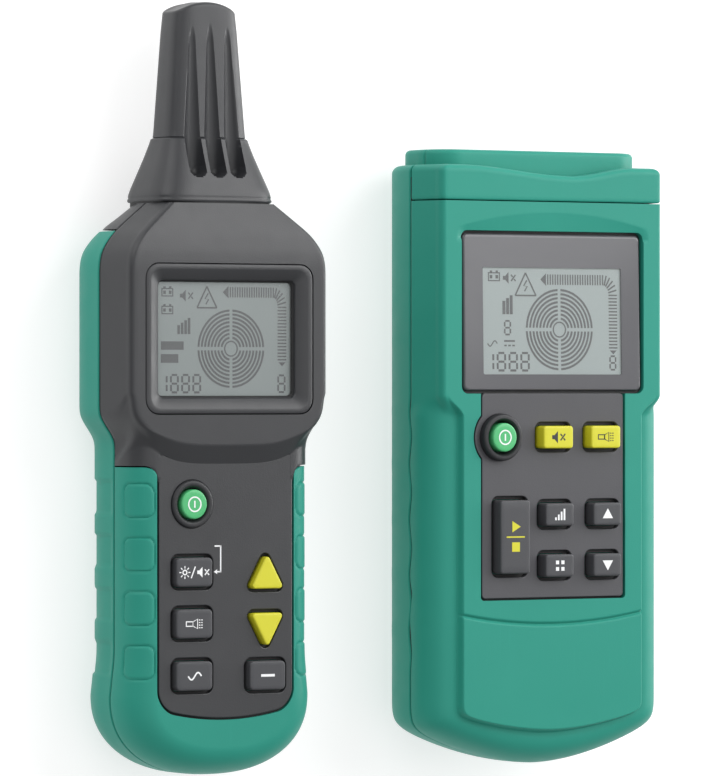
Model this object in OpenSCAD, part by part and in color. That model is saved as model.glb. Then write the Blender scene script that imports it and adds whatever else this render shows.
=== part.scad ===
// Cable locator set: a receiver with a sensing nose and a transmitter, lying on their backs on a table.
// X runs across both units, +Y towards the sensing nose, +Z out of the front faces.

/* [Set] */
// Free space on the table between the two units
unit_gap = 35; // [20:1:80]

/* [Shells and fits] */
// Wall of every moulded shell
wall = 2.2; // [1.8:0.1:2.6]
// Gap between pieces that are fixed in each other
fit = 0.15; // [0.1:0.05:0.25]
// Gap round caps and doors that move
run = 0.3; // [0.25:0.05:0.5]

/* [Receiver] */
// Overall length with the sensing nose
rx_length = 241.5; // [230:0.5:260]
// Width of the head
rx_w = 78; // [76:1:84]
// Thickness at the head
rx_thick = 38.5; // [37.5:0.5:42]
// Width of the grip between the ends
rx_grip_w = 67; // [66:1:72]
// Width of the flare at the bottom end
rx_flare_w = 70; // [68:1:74]
// Height of the keypad face
rx_panel_z = 36; // [35:0.5:37]
// Height of the parting plane between the shells
rx_seam_z = 24; // [23:0.5:25]
// Length of the rounded bottom end
rx_end_y = 25; // [22:1:30]
// Where the grip ends and the chin of the head starts
rx_chin_y = 97; // [96:0.5:99]
// Where the head reaches its full width
rx_head_y = 112; // [111:0.5:113]
// Where the shoulder starts to turn in
rx_shoulder_y = 159; // [158:0.5:162]
// Where the shells end and the nose collar starts
rx_collar_y = 178.5; // [177:0.5:182]
// Width of the collar where it meets the shells
rx_collar_w = 44; // [42:1:46]
// Share of the nose that the flared collar takes
rx_collar_share = 0.322; // [0.28:0.002:0.37]
// Width of the nose at the collar
rx_nose_w = 28; // [27:0.5:30]
// Width of the nose at its tip
rx_tip_w = 21.2; // [20:0.4:24]
// Width of a finger groove in the nose
groove_w = 6; // [5:0.25:6.5]
// Spacing of the finger grooves
groove_pitch = 6.9; // [6.7:0.1:7.5]
// Side of a finger pad on the grip
pad_w = 9.6; // [8:0.2:12]
// Spacing of the finger pads along the grip
pad_pitch = 16.7; // [14:0.1:17]
// How far a finger pad stands out
pad_rise = 0.8; // [0.4:0.1:1.5]

/* [Receiver display and keypad] */
// Width of the display bezel
rx_bezel_w = 61; // [58:0.5:63]
// Length of the display bezel
rx_bezel_l = 46.6; // [44:0.2:48]
// Middle of the display
rx_display_y = 136; // [135:0.5:137]
// Width of the visible display
rx_view_w = 50; // [44:0.5:52]
// Length of the visible display
rx_view_l = 36.6; // [32:0.2:38]
// Width of the keypad face between the grip sides
rx_pad_face_w = 49; // [47:0.5:51]
// Place of the left key column
rx_left_x = -12.4; // [-13:0.1:-11.5]
// Place of the right key column
rx_right_x = 14.4; // [13.5:0.1:15]
// Width of a receiver key
rx_key_w = 13.2; // [11:0.2:14]
// Length of a receiver key
rx_key_l = 9; // [8:0.2:10]
// Side of a level key triangle
rx_tri_w = 12.1; // [10:0.1:13]
// Length of a level key triangle
rx_tri_l = 9.8; // [8:0.1:10.5]

/* [Transmitter] */
// Length of the shells and cap, without the terminal boss
tx_length = 192; // [188:0.5:200]
// How far the terminal boss stands out of the cap
tx_boss_rise = 5; // [4:0.5:10]
// Overall width
tx_w = 92; // [90:1:98]
// Height of the face that carries the display and keys
tx_face_z = 42; // [41:0.5:45]
// Height of the shell face beside the keypad
tx_base_z = 39.6; // [39:0.2:40]
// Height of the parting plane between the shells
tx_seam_z = 28; // [27:0.5:29]
// Length of the rounded bottom end
tx_end_y = 29; // [26:1:32]
// Length of the top cap
tx_cap_l = 11.3; // [9.5:0.1:13]
// Depth of the wave in the cap's edge
tx_wave = 3; // [2:0.5:5]
// Width of the terminal boss, as a share of the overall width
tx_boss_share = 0.89; // [0.82:0.01:0.89]
// Thickness of the terminal boss
tx_boss_t = 25; // [22:0.5:26]
// Bore of a lead socket, for a 4 mm plug
socket_bore = 4.1; // [4:0.05:4.3]
// Outer diameter of a lead socket
socket_d = 6.4; // [6:0.1:7]
// Depth of a lead socket
socket_depth = 18; // [16:0.5:20]
// Spacing of the lead sockets
socket_pitch = 19; // [18:0.5:22]

/* [Transmitter display and keypad] */
// Width of the raised pod beside the keypad, as a share of the overall width
tx_pod_low_share = 0.78; // [0.75:0.002:0.79]
// Width of the display window, as a share of the overall width
tx_window_w_share = 0.75; // [0.73:0.01:0.77]
// Length of the display window, as a share of the length up to the cap
tx_window_l_share = 0.2767; // [0.265:0.001:0.285]
// Width of the visible display, as a share of the window
tx_view_w_share = 0.76; // [0.7:0.01:0.81]
// Length of the visible display, as a share of the window
tx_view_l_share = 0.66; // [0.6:0.01:0.72]
// Width of the keypad panel, as a share of the overall width
tx_panel_w_share = 0.598; // [0.588:0.002:0.62]
// Width of a dark transmitter key
tx_key_w = 11; // [9:0.2:12]
// Length of a dark transmitter key
tx_key_l = 7.2; // [6:0.2:9]
// Width of a yellow transmitter key
tx_lamp_key_w = 13.5; // [11:0.5:15]
// Width of the start and stop key
tx_start_w = 11.5; // [9:0.5:13]
// Length of the start and stop key
tx_start_l = 23.4; // [20:0.2:26]

/* [Keys] */
// Travel of every key
key_travel = 1; // [0.6:0.1:1.2]
// How far a receiver key stands out of its face
rx_key_rise = 1.6; // [1:0.1:3]
// How far a transmitter key stands out of its face
tx_key_rise = 3; // [1:0.1:4]
// Diameter of a power button
power_d = 9.2; // [8:0.1:10]
// Outer diameter of a power ring
power_ring_d = 15; // [14:0.25:16]
// Thickness of the circuit boards
board_t = 1.6; // [1:0.1:2]
// Thickness of the rubber keypad mats
mat_t = 1; // [0.8:0.1:1.4]

/* [Batteries] */
// Diameter of an AAA cell
cell_d = 10.5; // [10:0.1:10.5]
// Length of an AAA cell with its nub
cell_l = 44.5; // [44:0.1:45]
// Number of cells in the receiver
cell_count = 6; // [6:1:6]
// Width of the 9 V battery
block_w = 26.5; // [26:0.1:27]
// Length of the 9 V battery without its snaps
block_l = 46.4; // [45:0.1:47]
// Thickness of the 9 V battery
block_t = 17.5; // [16.5:0.1:17.5]

/* [Hidden] */
$fn = 48;

// Colours of the mouldings
green = "#3f9c86";
charcoal = "#4d4d50";
dark = "#2c2c2f";
yellow = "#e6d43c";

// One overrun serves every cut
over = 1;
// Steps of a rounded corner in a shell section, and of a drawn arc
corner_steps = 5;
arc_steps = 10;
// A section's corner takes at most this share of its side
corner_limit_share = 0.92;
// Rounded bottom end of a unit: shares of its length, its half width, its back rise and its front drop
end_shares = [
    [0, 0.22, 1, 1], [0.055, 0.4, 0.64, 0.62], [0.145, 0.58, 0.36, 0.34],
    [0.275, 0.74, 0.17, 0.16], [0.45, 0.87, 0.06, 0.05], [0.67, 0.96, 0.01, 0.01]
];

// Both units lie with their bottom ends on one line, centred on the table
base_y = -rx_length / 2;
rx_x = -(unit_gap + tx_w) / 2;
tx_x = (unit_gap + rx_w) / 2;

// Stack under a key face: wall, flange, free travel, mat, board
flange_t = 1.1;
flange_w = 0.9;
rest_gap = 0.1;
key_corner = 1.5;
key_stack = wall + flange_t + key_travel + rest_gap;
rx_mat_z = rx_panel_z - key_stack - mat_t;
tx_mat_z = tx_face_z - key_stack - mat_t;
rx_board_z = rx_mat_z - board_t;
tx_board_z = tx_mat_z - board_t;

// Receiver sections: y, half width, back z, front z, front corner width
contact_t = 0.5;
cell_gap = 0.3;
rx_bay_half = cell_l / 2 + contact_t + cell_gap;
rx_back_corner_share = 1.435;
rx_back_corner_w = rx_back_corner_share * (rx_grip_w / 2 - rx_bay_half);
rx_back_corner_h = 18;
rx_front_corner_h = 11.5;
rx_grip_corner_w = (rx_grip_w - rx_pad_face_w) / 2;
rx_head_corner_w = 5.5;
rx_end_rise = 9;
rx_end_drop = 6;
rx_waist_y = (rx_chin_y + rx_head_y) / 2;
rx_flare_end_y = rx_end_y + rx_end_y / 2;
rx_collar_back_z = 6.5;
rx_collar_front_z = 34.5;
rx_turn_y = rx_collar_y - rx_shoulder_y;
rx_turn_w = (rx_w - rx_collar_w) / 2;
rx_turn_shares = [[0.22, 0.05, 0.06, 0.06], [0.5, 0.28, 0.3, 0.28]];
rx_stations = concat(
    [for (e = end_shares) [
        e[0] * rx_end_y, e[1] * rx_flare_w / 2, e[2] * rx_end_rise, rx_panel_z - e[3] * rx_end_drop,
        rx_grip_corner_w]],
    [
        [rx_end_y, rx_flare_w / 2, 0, rx_panel_z, rx_grip_corner_w + (rx_flare_w - rx_grip_w) / 2],
        [rx_flare_end_y, rx_grip_w / 2, 0, rx_panel_z, rx_grip_corner_w],
        [rx_chin_y, rx_grip_w / 2, 0, rx_panel_z, rx_grip_corner_w],
        [rx_waist_y, rx_grip_w / 2, 0, (rx_panel_z + rx_thick) / 2, rx_head_corner_w],
        [rx_head_y, rx_w / 2, 0, rx_thick, rx_head_corner_w],
        [rx_shoulder_y, rx_w / 2, 0, rx_thick, rx_head_corner_w]
    ],
    [for (t = rx_turn_shares) [
        rx_shoulder_y + t[0] * rx_turn_y, rx_w / 2 - t[1] * rx_turn_w, t[2] * rx_collar_back_z,
        rx_thick - t[3] * (rx_thick - rx_collar_front_z), rx_head_corner_w]],
    [[rx_collar_y, rx_collar_w / 2, rx_collar_back_z, rx_collar_front_z, rx_head_corner_w]]
);

// Nose sections, from the collar to the tip
rx_nose_y = rx_collar_y + rx_collar_share * (rx_length - rx_collar_y);
rx_nose_back_z = 11.3;
rx_nose_front_z = 28.2;
rx_tip_back_z = 12.2;
rx_tip_front_z = 26.6;
rx_tip_round = 2.5;
rx_nose_corner_share = 0.62;
groove_nose_share = 0.72;
rx_collar_shares = [[0.15, 0.06], [0.42, 0.42], [0.72, 0.8]];
rx_nose_stations = concat(
    [[rx_collar_y, rx_collar_w / 2, rx_collar_back_z, rx_collar_front_z]],
    [for (c = rx_collar_shares) [
        rx_collar_y + c[0] * (rx_nose_y - rx_collar_y),
        rx_collar_w / 2 - c[1] * (rx_collar_w - rx_nose_w) / 2,
        rx_collar_back_z + c[1] * (rx_nose_back_z - rx_collar_back_z),
        rx_collar_front_z - c[1] * (rx_collar_front_z - rx_nose_front_z)]],
    [
        [rx_nose_y, rx_nose_w / 2, rx_nose_back_z, rx_nose_front_z],
        [rx_length - rx_tip_round, rx_tip_w / 2, rx_tip_back_z, rx_tip_front_z],
        [rx_length, rx_tip_w / 2 - rx_tip_round, rx_tip_back_z + rx_tip_round, rx_tip_front_z - rx_tip_round]
    ]
);

// Antenna rod and its bore along the nose
rx_rod_z = (rx_tip_back_z + rx_tip_front_z) / 2;
rod_r = 4;
winding_t = 1.2;
rod_y0 = rx_collar_y + wall;
rod_y1 = rx_length - 4 * wall;
winding_shares = [0.348, 0.873];
winding_y0 = rod_y0 + winding_shares[0] * (rod_y1 - rod_y0);
winding_y1 = rod_y0 + winding_shares[1] * (rod_y1 - rod_y0);
lens_r = 3.2;
lens_t = 1.8;

// Receiver keypad face
rx_face_bottom_y = 18;
rx_face_sag = 8;
rx_power_y = 84.7;
rx_light_y = 63.6;
rx_torch_y = 47.6;
rx_voltage_y = 31.4;
rx_up_y = 63.2;
rx_down_y = 45.4;
rx_manual_y = 31;
rx_pad_y = 35.8;
pad_count = 4;
pad_corner = 2.4;
bezel_corner = 4.5;
rx_lcd_margin = 3.5;

// Receiver inside
rx_board_half = rx_pad_face_w / 2 - 1.5;
rx_board_head_w = 64;
rx_board_y0 = rx_face_bottom_y + rx_face_sag;
rx_board_y1 = rx_display_y + rx_bezel_l / 2;
rx_mat_y1 = rx_power_y + power_ring_d / 2;
buzzer_r = 6;
buzzer_t = 5;
screw_r = 1.25;
screw_head_r = 2.2;
screw_head_t = 1.6;
boss_r = screw_head_r + fit + wall / 2;
boss_foot_z = 3 * wall / 4;
screw_z = 8;
post_r = 2.5;
// Screw places, with the heights where the back boss ends and the front boss starts
rx_screw_head_x = 20;
rx_screw_grip_x = 14;
rx_screws = [for (s = [-1, 1]) each [
    [s * rx_screw_head_x, rx_board_y1 + boss_r + fit, rx_seam_z, rx_seam_z],
    [s * rx_screw_grip_x, rx_waist_y, rx_board_z, rx_board_z + board_t]]];
rx_screw_l = rx_panel_z - wall - screw_z;

// Receiver battery bay: cells lie across the grip
tray_t = 1.6;
cell_pitch = cell_d + cell_gap;
cell_lift = 1.3;
nub_r = 1.9;
nub_l = 1;
rx_bay_l = cell_count * cell_pitch + cell_gap;
rx_bay_y0 = rx_end_y + wall;
rx_cell_z = wall + cell_lift + cell_d / 2;
rx_bay_top = rx_cell_z + cell_d / 2 + cell_gap;
tab_w = 13;
tab_l = 7.5;
door_screw_l = 9;

// Transmitter sections: y, half width, back z, front z, front corner width
tx_back_corner_w = 24;
tx_back_corner_h = 25.5;
tx_front_corner_w = 9;
tx_head_corner_w = 4.5;
tx_front_corner_h = 10;
tx_end_rise = 12;
tx_end_drop = 5;
tx_cap_y = tx_length - tx_cap_l;
tx_pod_shares = [0.083, 0.617, 0.6563];
tx_pod_step_y = tx_pod_shares[1] * tx_cap_y;
tx_pod_wide_y = tx_pod_shares[2] * tx_cap_y;
tx_head_half = tx_w / 2 - tx_head_corner_w;
tx_stations = concat(
    [for (e = end_shares) [
        e[0] * tx_end_y, e[1] * tx_w / 2, e[2] * tx_end_rise, tx_base_z - e[3] * tx_end_drop,
        tx_front_corner_w]],
    [
        [tx_end_y, tx_w / 2, 0, tx_base_z, tx_front_corner_w],
        [tx_pod_step_y, tx_w / 2, 0, tx_base_z, tx_front_corner_w],
        [tx_pod_wide_y, tx_w / 2, 0, tx_face_z, tx_head_corner_w],
        [tx_cap_y, tx_w / 2, 0, tx_face_z, tx_head_corner_w]
    ]
);
tx_cap_round = 2.4;
tx_cap_stations = [
    [tx_cap_y, tx_w / 2, 0, tx_face_z],
    [tx_length - tx_cap_round, tx_w / 2, 0, tx_face_z],
    [tx_length, tx_w / 2 - tx_cap_round, tx_cap_round, tx_face_z - tx_cap_round]
];
tx_cap_top_t = 1.6;
tx_cap_roof_y = tx_length - tx_wave - tx_cap_top_t;
tx_wave_shares = [0.043, 0.326];
tx_wave_x = tx_wave_shares[0] * tx_w;
tx_wave_half = tx_wave_shares[1] * tx_w;
tx_boss_z = tx_base_z - 2 * wall - tx_boss_t;
tx_boss_corner = 10.5;
tx_boss_flange = 1.4;
tx_lamp_x = 26;

// Transmitter pod, keypad and display: places along the unit are shares of the length up to the cap
tx_window_share = 0.8024;
tx_panel_share = 0.2966;
tx_row_shares = [0.3531, 0.4051, 0.4438, 0.5811];
tx_groove_share = 0.249;
tx_board_share = 0.2214;
tx_boss_w = tx_boss_share * tx_w;
tx_pod_low_w = tx_pod_low_share * tx_w;
tx_window_w = tx_window_w_share * tx_w;
tx_view_w = tx_view_w_share * tx_window_w;
tx_panel_w = tx_panel_w_share * tx_w;
tx_window_y = tx_window_share * tx_cap_y;
tx_window_l = tx_window_l_share * tx_cap_y;
tx_view_l = tx_view_l_share * tx_window_l;
tx_panel_y = tx_panel_share * tx_cap_y;
tx_pod_y0 = tx_pod_shares[0] * tx_cap_y;
tx_pod_sag = 7;
tx_window_corner = 1.6;
tx_panel_y1 = tx_window_y - tx_window_l / 2 - wall;
tx_panel_corner = 1.2;
// Key columns: power, start, middle, torch and arrow keys, as shares of the keypad panel's width
tx_column_shares = [-0.378, -0.305, 0.009, 0.338, 0.349];
tx_power_x = tx_column_shares[0] * tx_panel_w;
tx_top_row_y = tx_row_shares[3] * tx_cap_y;
tx_mute_x = 0;
tx_torch_x = tx_column_shares[3] * tx_panel_w;
tx_start_x = tx_column_shares[1] * tx_panel_w;
tx_start_y = tx_row_shares[1] * tx_cap_y;
tx_mid_x = tx_column_shares[2] * tx_panel_w;
tx_arrow_x = tx_column_shares[4] * tx_panel_w;
tx_upper_row_y = tx_row_shares[2] * tx_cap_y;
tx_lower_row_y = tx_row_shares[0] * tx_cap_y;
tx_bulge_r = power_ring_d / 2 + 2;
tx_plate_groove_y = tx_groove_share * tx_cap_y;
tx_groove_w = 1;

// Transmitter inside
tx_board_w = tx_window_w + 3 * wall;
tx_board_y0 = tx_board_share * tx_cap_y;
tx_board_y1 = tx_window_y + tx_window_l / 2;
tx_screw_x = 18;
tx_screw_low_y = tx_end_y + boss_r;
tx_screw_high_y = tx_cap_y - boss_r - fit;
tx_low_screws = [for (s = [-1, 1]) [s * tx_screw_x, tx_screw_low_y, tx_seam_z, tx_seam_z]];
tx_high_screws = [for (s = [-1, 1]) [s * tx_screw_x, tx_screw_high_y, tx_seam_z, tx_seam_z]];
tx_screws = concat(tx_low_screws, tx_high_screws);
tx_screw_l = tx_base_z - wall - screw_z;
tx_pocket_half = tx_pod_low_w / 2 - 2 * wall;
snap_t = 1.6;
snap_stud_r = 3;
snap_stud_l = 2.2;
snap_stud_pitch = 12.7;
tx_bay_half = block_w / 2 + cell_gap;
tx_bay_l = block_l + snap_stud_l + snap_t + 2 * cell_gap;
tx_bay_y0 = tx_end_y + tab_l + wall;
tx_bay_top = wall + block_t + 2 * cell_gap;

// Right seam point, over the flat face to the left seam point, of one half of a section
function arch(half, rise, corner_w, corner_h) =
    let (
        cw = min(corner_w, half * corner_limit_share),
        ch = min(corner_h, rise * corner_limit_share),
        turn = [for (i = [0:corner_steps]) let (a = 90 * i / corner_steps)
            [half - cw + cw * cos(a), rise - ch + ch * sin(a)]],
        back = [for (i = [corner_steps:-1:0]) [-turn[i][0], turn[i][1]]]
    )
    concat([[half, 0]], turn, back, [[-half, 0]]);

// A station drawn in by one wall, with its bottom end moved in as well
function inner_station(s, end_y) =
    let (shift = s[0] < end_y ? wall * (1 - s[0] / end_y) : 0)
    [s[0] + shift, s[1] - wall, s[2] + wall, s[3] - wall, s[4]];

function front_arch(s, seam, corner_w, corner_h) =
    [for (p = arch(s[1], s[3] - seam, corner_w, corner_h)) [p[0], s[0], seam + p[1]]];

function back_arch(s, seam, corner_w, corner_h) =
    [for (p = arch(s[1], seam - s[2], corner_w, corner_h)) [p[0], s[0], seam - p[1]]];

function quad(a, b, c, d) = [[a, b, c], [a, c, d]];

function flip(faces) = [for (f = faces) [f[2], f[1], f[0]]];

// Faces of a half shell of m stations with n points each, the inner skin's points after the outer skin's:
// outer skin, inner skin, rims, closed bottom end, open top end
function shell_faces(m, n) =
    let (inner = m * n, last = (m - 1) * n)
    concat(
        [for (i = [0:m - 2], j = [0:n - 2]) let (k = i * n + j) each quad(k, k + 1, k + n + 1, k + n)],
        [for (i = [0:m - 2], j = [0:n - 2]) let (k = inner + i * n + j)
            each quad(k, k + n, k + n + 1, k + 1)],
        [for (i = [0:m - 2]) let (k = i * n) each quad(k, k + n, inner + k + n, inner + k)],
        [for (i = [0:m - 2]) let (k = i * n + n - 1) each quad(k + n, k, inner + k, inner + k + n)],
        [for (j = [1:n - 2]) [0, j + 1, j]],
        [for (j = [1:n - 2]) [inner, inner + j, inner + j + 1]],
        quad(n - 1, 0, inner, inner + n - 1),
        [for (j = [0:n - 2]) let (k = last + j) each quad(k, k + 1, inner + k + 1, inner + k)]
    );

module half_shell(outer, inner, flipped) {
    m = len(outer);
    n = len(outer[0]);
    points = [for (ring = concat(outer, inner)) each ring];
    faces = shell_faces(m, n);
    polyhedron(points, flipped ? flip(faces) : faces);
}

// Closed solid through a list of convex rings
module ring_loft(rings) {
    m = len(rings);
    n = len(rings[0]);
    last = (m - 1) * n;
    points = [for (ring = rings) each ring];
    sides = [for (i = [0:m - 2], j = [0:n - 1]) let (k = i * n, e = (j + 1) % n)
        each quad(k + j, k + e, k + n + e, k + n + j)];
    first_cap = [for (j = [1:n - 2]) [0, j + 1, j]];
    last_cap = [for (j = [1:n - 2]) [last, last + j, last + j + 1]];
    polyhedron(points, concat(sides, first_cap, last_cap));
}

// Full section ring: front arch to the left, back arch to the right
function full_ring(s, seam, front_w, front_h, back_w, back_h) =
    let (
        front = front_arch(s, seam, front_w, front_h),
        back = back_arch(s, seam, back_w, back_h)
    )
    concat(front, [for (j = [len(back) - 2:-1:1]) back[j]]);

module rx_front_loft() {
    outer = [for (s = rx_stations) front_arch(s, rx_seam_z, s[4], rx_front_corner_h)];
    inner = [for (s = rx_stations)
        front_arch(inner_station(s, rx_end_y), rx_seam_z, s[4] - wall, rx_front_corner_h - wall)];
    half_shell(outer, inner, false);
}

module rx_back_loft() {
    outer = [for (s = rx_stations) back_arch(s, rx_seam_z, rx_back_corner_w, rx_back_corner_h)];
    inner = [for (s = rx_stations) back_arch(
        inner_station(s, rx_end_y), rx_seam_z, rx_back_corner_w - wall, rx_back_corner_h - wall)];
    half_shell(outer, inner, true);
}

module tx_front_loft() {
    outer = [for (s = tx_stations) front_arch(s, tx_seam_z, s[4], tx_front_corner_h)];
    inner = [for (s = tx_stations)
        front_arch(inner_station(s, tx_end_y), tx_seam_z, s[4] - wall, tx_front_corner_h - wall)];
    half_shell(outer, inner, false);
}

module tx_back_loft() {
    outer = [for (s = tx_stations) back_arch(s, tx_seam_z, tx_back_corner_w, tx_back_corner_h)];
    inner = [for (s = tx_stations) back_arch(
        inner_station(s, tx_end_y), tx_seam_z, tx_back_corner_w - wall, tx_back_corner_h - wall)];
    half_shell(outer, inner, true);
}

// Places of the two units in the set
module in_rx() {
    translate([rx_x, base_y, 0]) children();
}

module in_tx() {
    translate([tx_x, base_y, 0]) children();
}

// Rounded rectangle about its middle, with true arcs
module round_rect(w, l, r) {
    square([w - 2 * r, l], center = true);
    square([w, l - 2 * r], center = true);
    for (sx = [-1, 1], sy = [-1, 1]) {
        translate([sx * (w / 2 - r), sy * (l / 2 - r)]) circle(r);
    }
}

// Upright prism of a flat outline between two heights
module prism(z0, z1) {
    translate([0, 0, z0]) linear_extrude(z1 - z0) children();
}

// Rod along Y between two places
module rod_y(x, y0, y1, z, r) {
    translate([x, y0, z]) rotate([-90, 0, 0]) cylinder(r = r, h = y1 - y0);
}

// Outlines of the caps, grown where a hole needs room
module key_outline(w, l, grow) {
    round_rect(w + 2 * grow, l + 2 * grow, key_corner + grow);
}

// Triangle key with cut corners, pointing along +Y for way = 1
module level_outline(way, grow) {
    half = rx_tri_w / 2 + grow;
    top = rx_tri_l / 2 + grow;
    cut = key_corner / 2;
    polygon([
        [-half, -way * top], [half, -way * top], [half, -way * (top - 2 * cut)],
        [cut, way * top], [-cut, way * top], [-half, -way * (top - 2 * cut)]
    ]);
}

// Cap that stands in its hole, on a flange that bears under the face
module key_solid(face_z, rise) {
    prism(face_z - wall, face_z + rise) children(0);
    prism(face_z - wall - flange_t, face_z - wall) children(1);
}

module rx_key(x, y, w, l) {
    in_rx() translate([x, y, 0]) key_solid(rx_panel_z, rx_key_rise) {
        key_outline(w, l, 0);
        key_outline(w, l, flange_w);
    }
}

module tx_key(x, y, w, l) {
    in_tx() translate([x, y, 0]) key_solid(tx_face_z, tx_key_rise) {
        key_outline(w, l, 0);
        key_outline(w, l, flange_w);
    }
}

module level_key(y, way) {
    in_rx() translate([rx_right_x, y, 0]) key_solid(rx_panel_z, rx_key_rise) {
        level_outline(way, 0);
        level_outline(way, flange_w);
    }
}

// Dished ring round a power button: a sleeve in the face and a rim on it
ring_sleeve_r = power_d / 2 + run + 1.5;
ring_rim_t = 1;
module power_ring(face_z, lip) {
    bore_r = power_d / 2 + run;
    translate([0, 0, face_z]) rotate_extrude() polygon([
        [bore_r, -wall], [ring_sleeve_r, -wall], [ring_sleeve_r, 0], [power_ring_d / 2, 0],
        [power_ring_d / 2, lip - ring_rim_t / 2], [power_ring_d / 2 - ring_rim_t / 2, lip],
        [power_ring_d / 2 - ring_rim_t, lip], [bore_r, ring_rim_t / 2]
    ]);
}

module power_button(face_z, rise) {
    translate([0, 0, face_z - wall]) cylinder(d = power_d, h = wall + rise);
    translate([0, 0, face_z - wall - flange_t]) cylinder(r = power_d / 2 + flange_w, h = flange_t);
}

// Flat-headed screw standing on its head
module screw(length) {
    cylinder(r = screw_head_r, h = screw_head_t);
    cylinder(r = screw_r, h = length);
}

// Keypad face of the receiver, open towards the head
module rx_face_outline() {
    half = rx_pad_face_w / 2;
    polygon(concat(
        [[half, rx_head_y], [-half, rx_head_y]],
        [for (i = [0:arc_steps]) let (u = 2 * i / arc_steps - 1)
            [u * half, rx_face_bottom_y + rx_face_sag * u * u]]
    ));
}

// The U of the grip that lies outside the keypad face
module rx_grip_outline() {
    difference() {
        translate([-rx_w, -over]) square([2 * rx_w, rx_chin_y + over]);
        rx_face_outline();
    }
}

module rx_key_holes() {
    translate([rx_left_x, rx_power_y]) circle(ring_sleeve_r + fit);
    for (y = [rx_light_y, rx_torch_y, rx_voltage_y]) {
        translate([rx_left_x, y]) key_outline(rx_key_w, rx_key_l, run);
    }
    translate([rx_right_x, rx_manual_y]) key_outline(rx_key_w, rx_key_l, run);
    translate([rx_right_x, rx_up_y]) level_outline(1, run);
    translate([rx_right_x, rx_down_y]) level_outline(-1, run);
}

// Outline of the receiver's battery opening, with the tab for the door screw
module rx_door_outline(gap) {
    translate([-rx_bay_half + gap, rx_bay_y0 + gap]) square([2 * (rx_bay_half - gap), rx_bay_l - 2 * gap]);
    translate([-tab_w / 2 + gap, rx_bay_y0 - tab_l + gap]) square([tab_w - 2 * gap, tab_l + 2 * gap]);
}

rx_door_screw_y = rx_bay_y0 - tab_l / 2;
tx_door_screw_y = tx_bay_y0 - tab_l / 2;

// Battery tray over an opening, with a boss for the door screw
module tray(half, y0, l, top, screw_y) {
    translate([-half - tray_t, y0 - tray_t, wall])
        cube([2 * (half + tray_t), l + 2 * tray_t, top + tray_t - wall]);
    translate([0, screw_y, wall + 2 * run]) cylinder(r = boss_r, h = top - wall - 2 * run);
}

// Post under a circuit board
module board_post(x, y, z0, z1) {
    translate([x, y, z0]) cylinder(r = post_r, h = z1 - z0);
}

// Bosses of a back shell, from its wall up to where the front bosses or the board meet them
module back_bosses(screws) {
    for (s = screws) {
        translate([s[0], s[1], boss_foot_z]) cylinder(r = boss_r, h = s[2] - boss_foot_z);
    }
}

// Counterbores and holes for the case screws in a back shell
module back_screw_holes(screws) {
    for (s = screws) {
        translate([s[0], s[1], -over]) cylinder(r = screw_head_r + fit, h = screw_z + screw_head_t + over);
        translate([s[0], s[1], -over]) cylinder(r = screw_r + fit, h = s[2] + 2 * over);
    }
}

// Bosses of a front shell, up into its face wall
module front_bosses(screws, top) {
    for (s = screws) {
        translate([s[0], s[1], s[3]]) cylinder(r = boss_r, h = top - s[3]);
    }
}

module front_screw_holes(screws, tip) {
    for (s = screws) {
        translate([s[0], s[1], s[3] - over]) cylinder(r = screw_r + fit, h = tip + fit - s[3] + over);
    }
}

// Room inside a tray and its screw hole
module tray_room(half, y0, l, top, screw_y) {
    translate([-half, y0, -over]) cube([2 * half, l, top + over]);
    translate([0, screw_y, -over]) cylinder(r = screw_r + fit, h = door_screw_l + wall + over);
}

module rx_back_shell() {
    color(green) in_rx() difference() {
        union() {
            rx_back_loft();
            tray(rx_bay_half, rx_bay_y0, rx_bay_l, rx_bay_top, rx_door_screw_y);
            back_bosses(rx_screws);
            board_post(0, rx_display_y + rx_view_l / 2, wall / 2, rx_board_z);
            board_post(0, rx_bay_y0 + rx_bay_l / 4, rx_bay_top, rx_board_z);
        }
        tray_room(rx_bay_half, rx_bay_y0, rx_bay_l, rx_bay_top, rx_door_screw_y);
        prism(-over, 2 * wall) rx_door_outline(0);
        back_screw_holes(rx_screws);
    }
}

module rx_front_shell() {
    color(charcoal) in_rx() difference() {
        union() {
            rx_front_loft();
            front_bosses(rx_screws, rx_panel_z + wall / 4);
        }
        prism(rx_seam_z - over, rx_thick) rx_grip_outline();
        prism(rx_panel_z - 2 * wall, rx_thick + over) translate([0, rx_display_y])
            round_rect(rx_bezel_w + 2 * fit, rx_bezel_l + 2 * fit, bezel_corner + fit);
        prism(rx_panel_z - 2 * wall, rx_panel_z + over) rx_key_holes();
        front_screw_holes(rx_screws, screw_z + rx_screw_l);
    }
}

// Finger pads stand out of the grip's corner
module rx_pads() {
    rings = [for (y = [rx_end_y, rx_chin_y]) [for (p = arch(
        rx_grip_w / 2 + pad_rise, rx_panel_z + pad_rise - rx_seam_z, rx_grip_corner_w + pad_rise,
        rx_front_corner_h + pad_rise)) [p[0], y, rx_seam_z + p[1]]]];
    pad_x = (rx_pad_face_w / 2 + rx_grip_w / 2 + pad_rise) / 2;
    pad_span = (rx_grip_w - rx_pad_face_w) / 2 + pad_rise;
    intersection() {
        ring_loft(rings);
        prism(rx_seam_z + wall, rx_thick) for (s = [-1, 1], i = [0:pad_count - 1]) {
            translate([s * (pad_x + wall / 2), rx_pad_y + i * pad_pitch])
                round_rect(pad_span - wall, pad_w, pad_corner);
        }
    }
}

module rx_grip_surround() {
    color(green) in_rx() {
        intersection() {
            rx_front_loft();
            prism(rx_seam_z - over, rx_thick) rx_grip_outline();
        }
        difference() {
            rx_pads();
            rx_pad_room();
        }
    }
}

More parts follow.
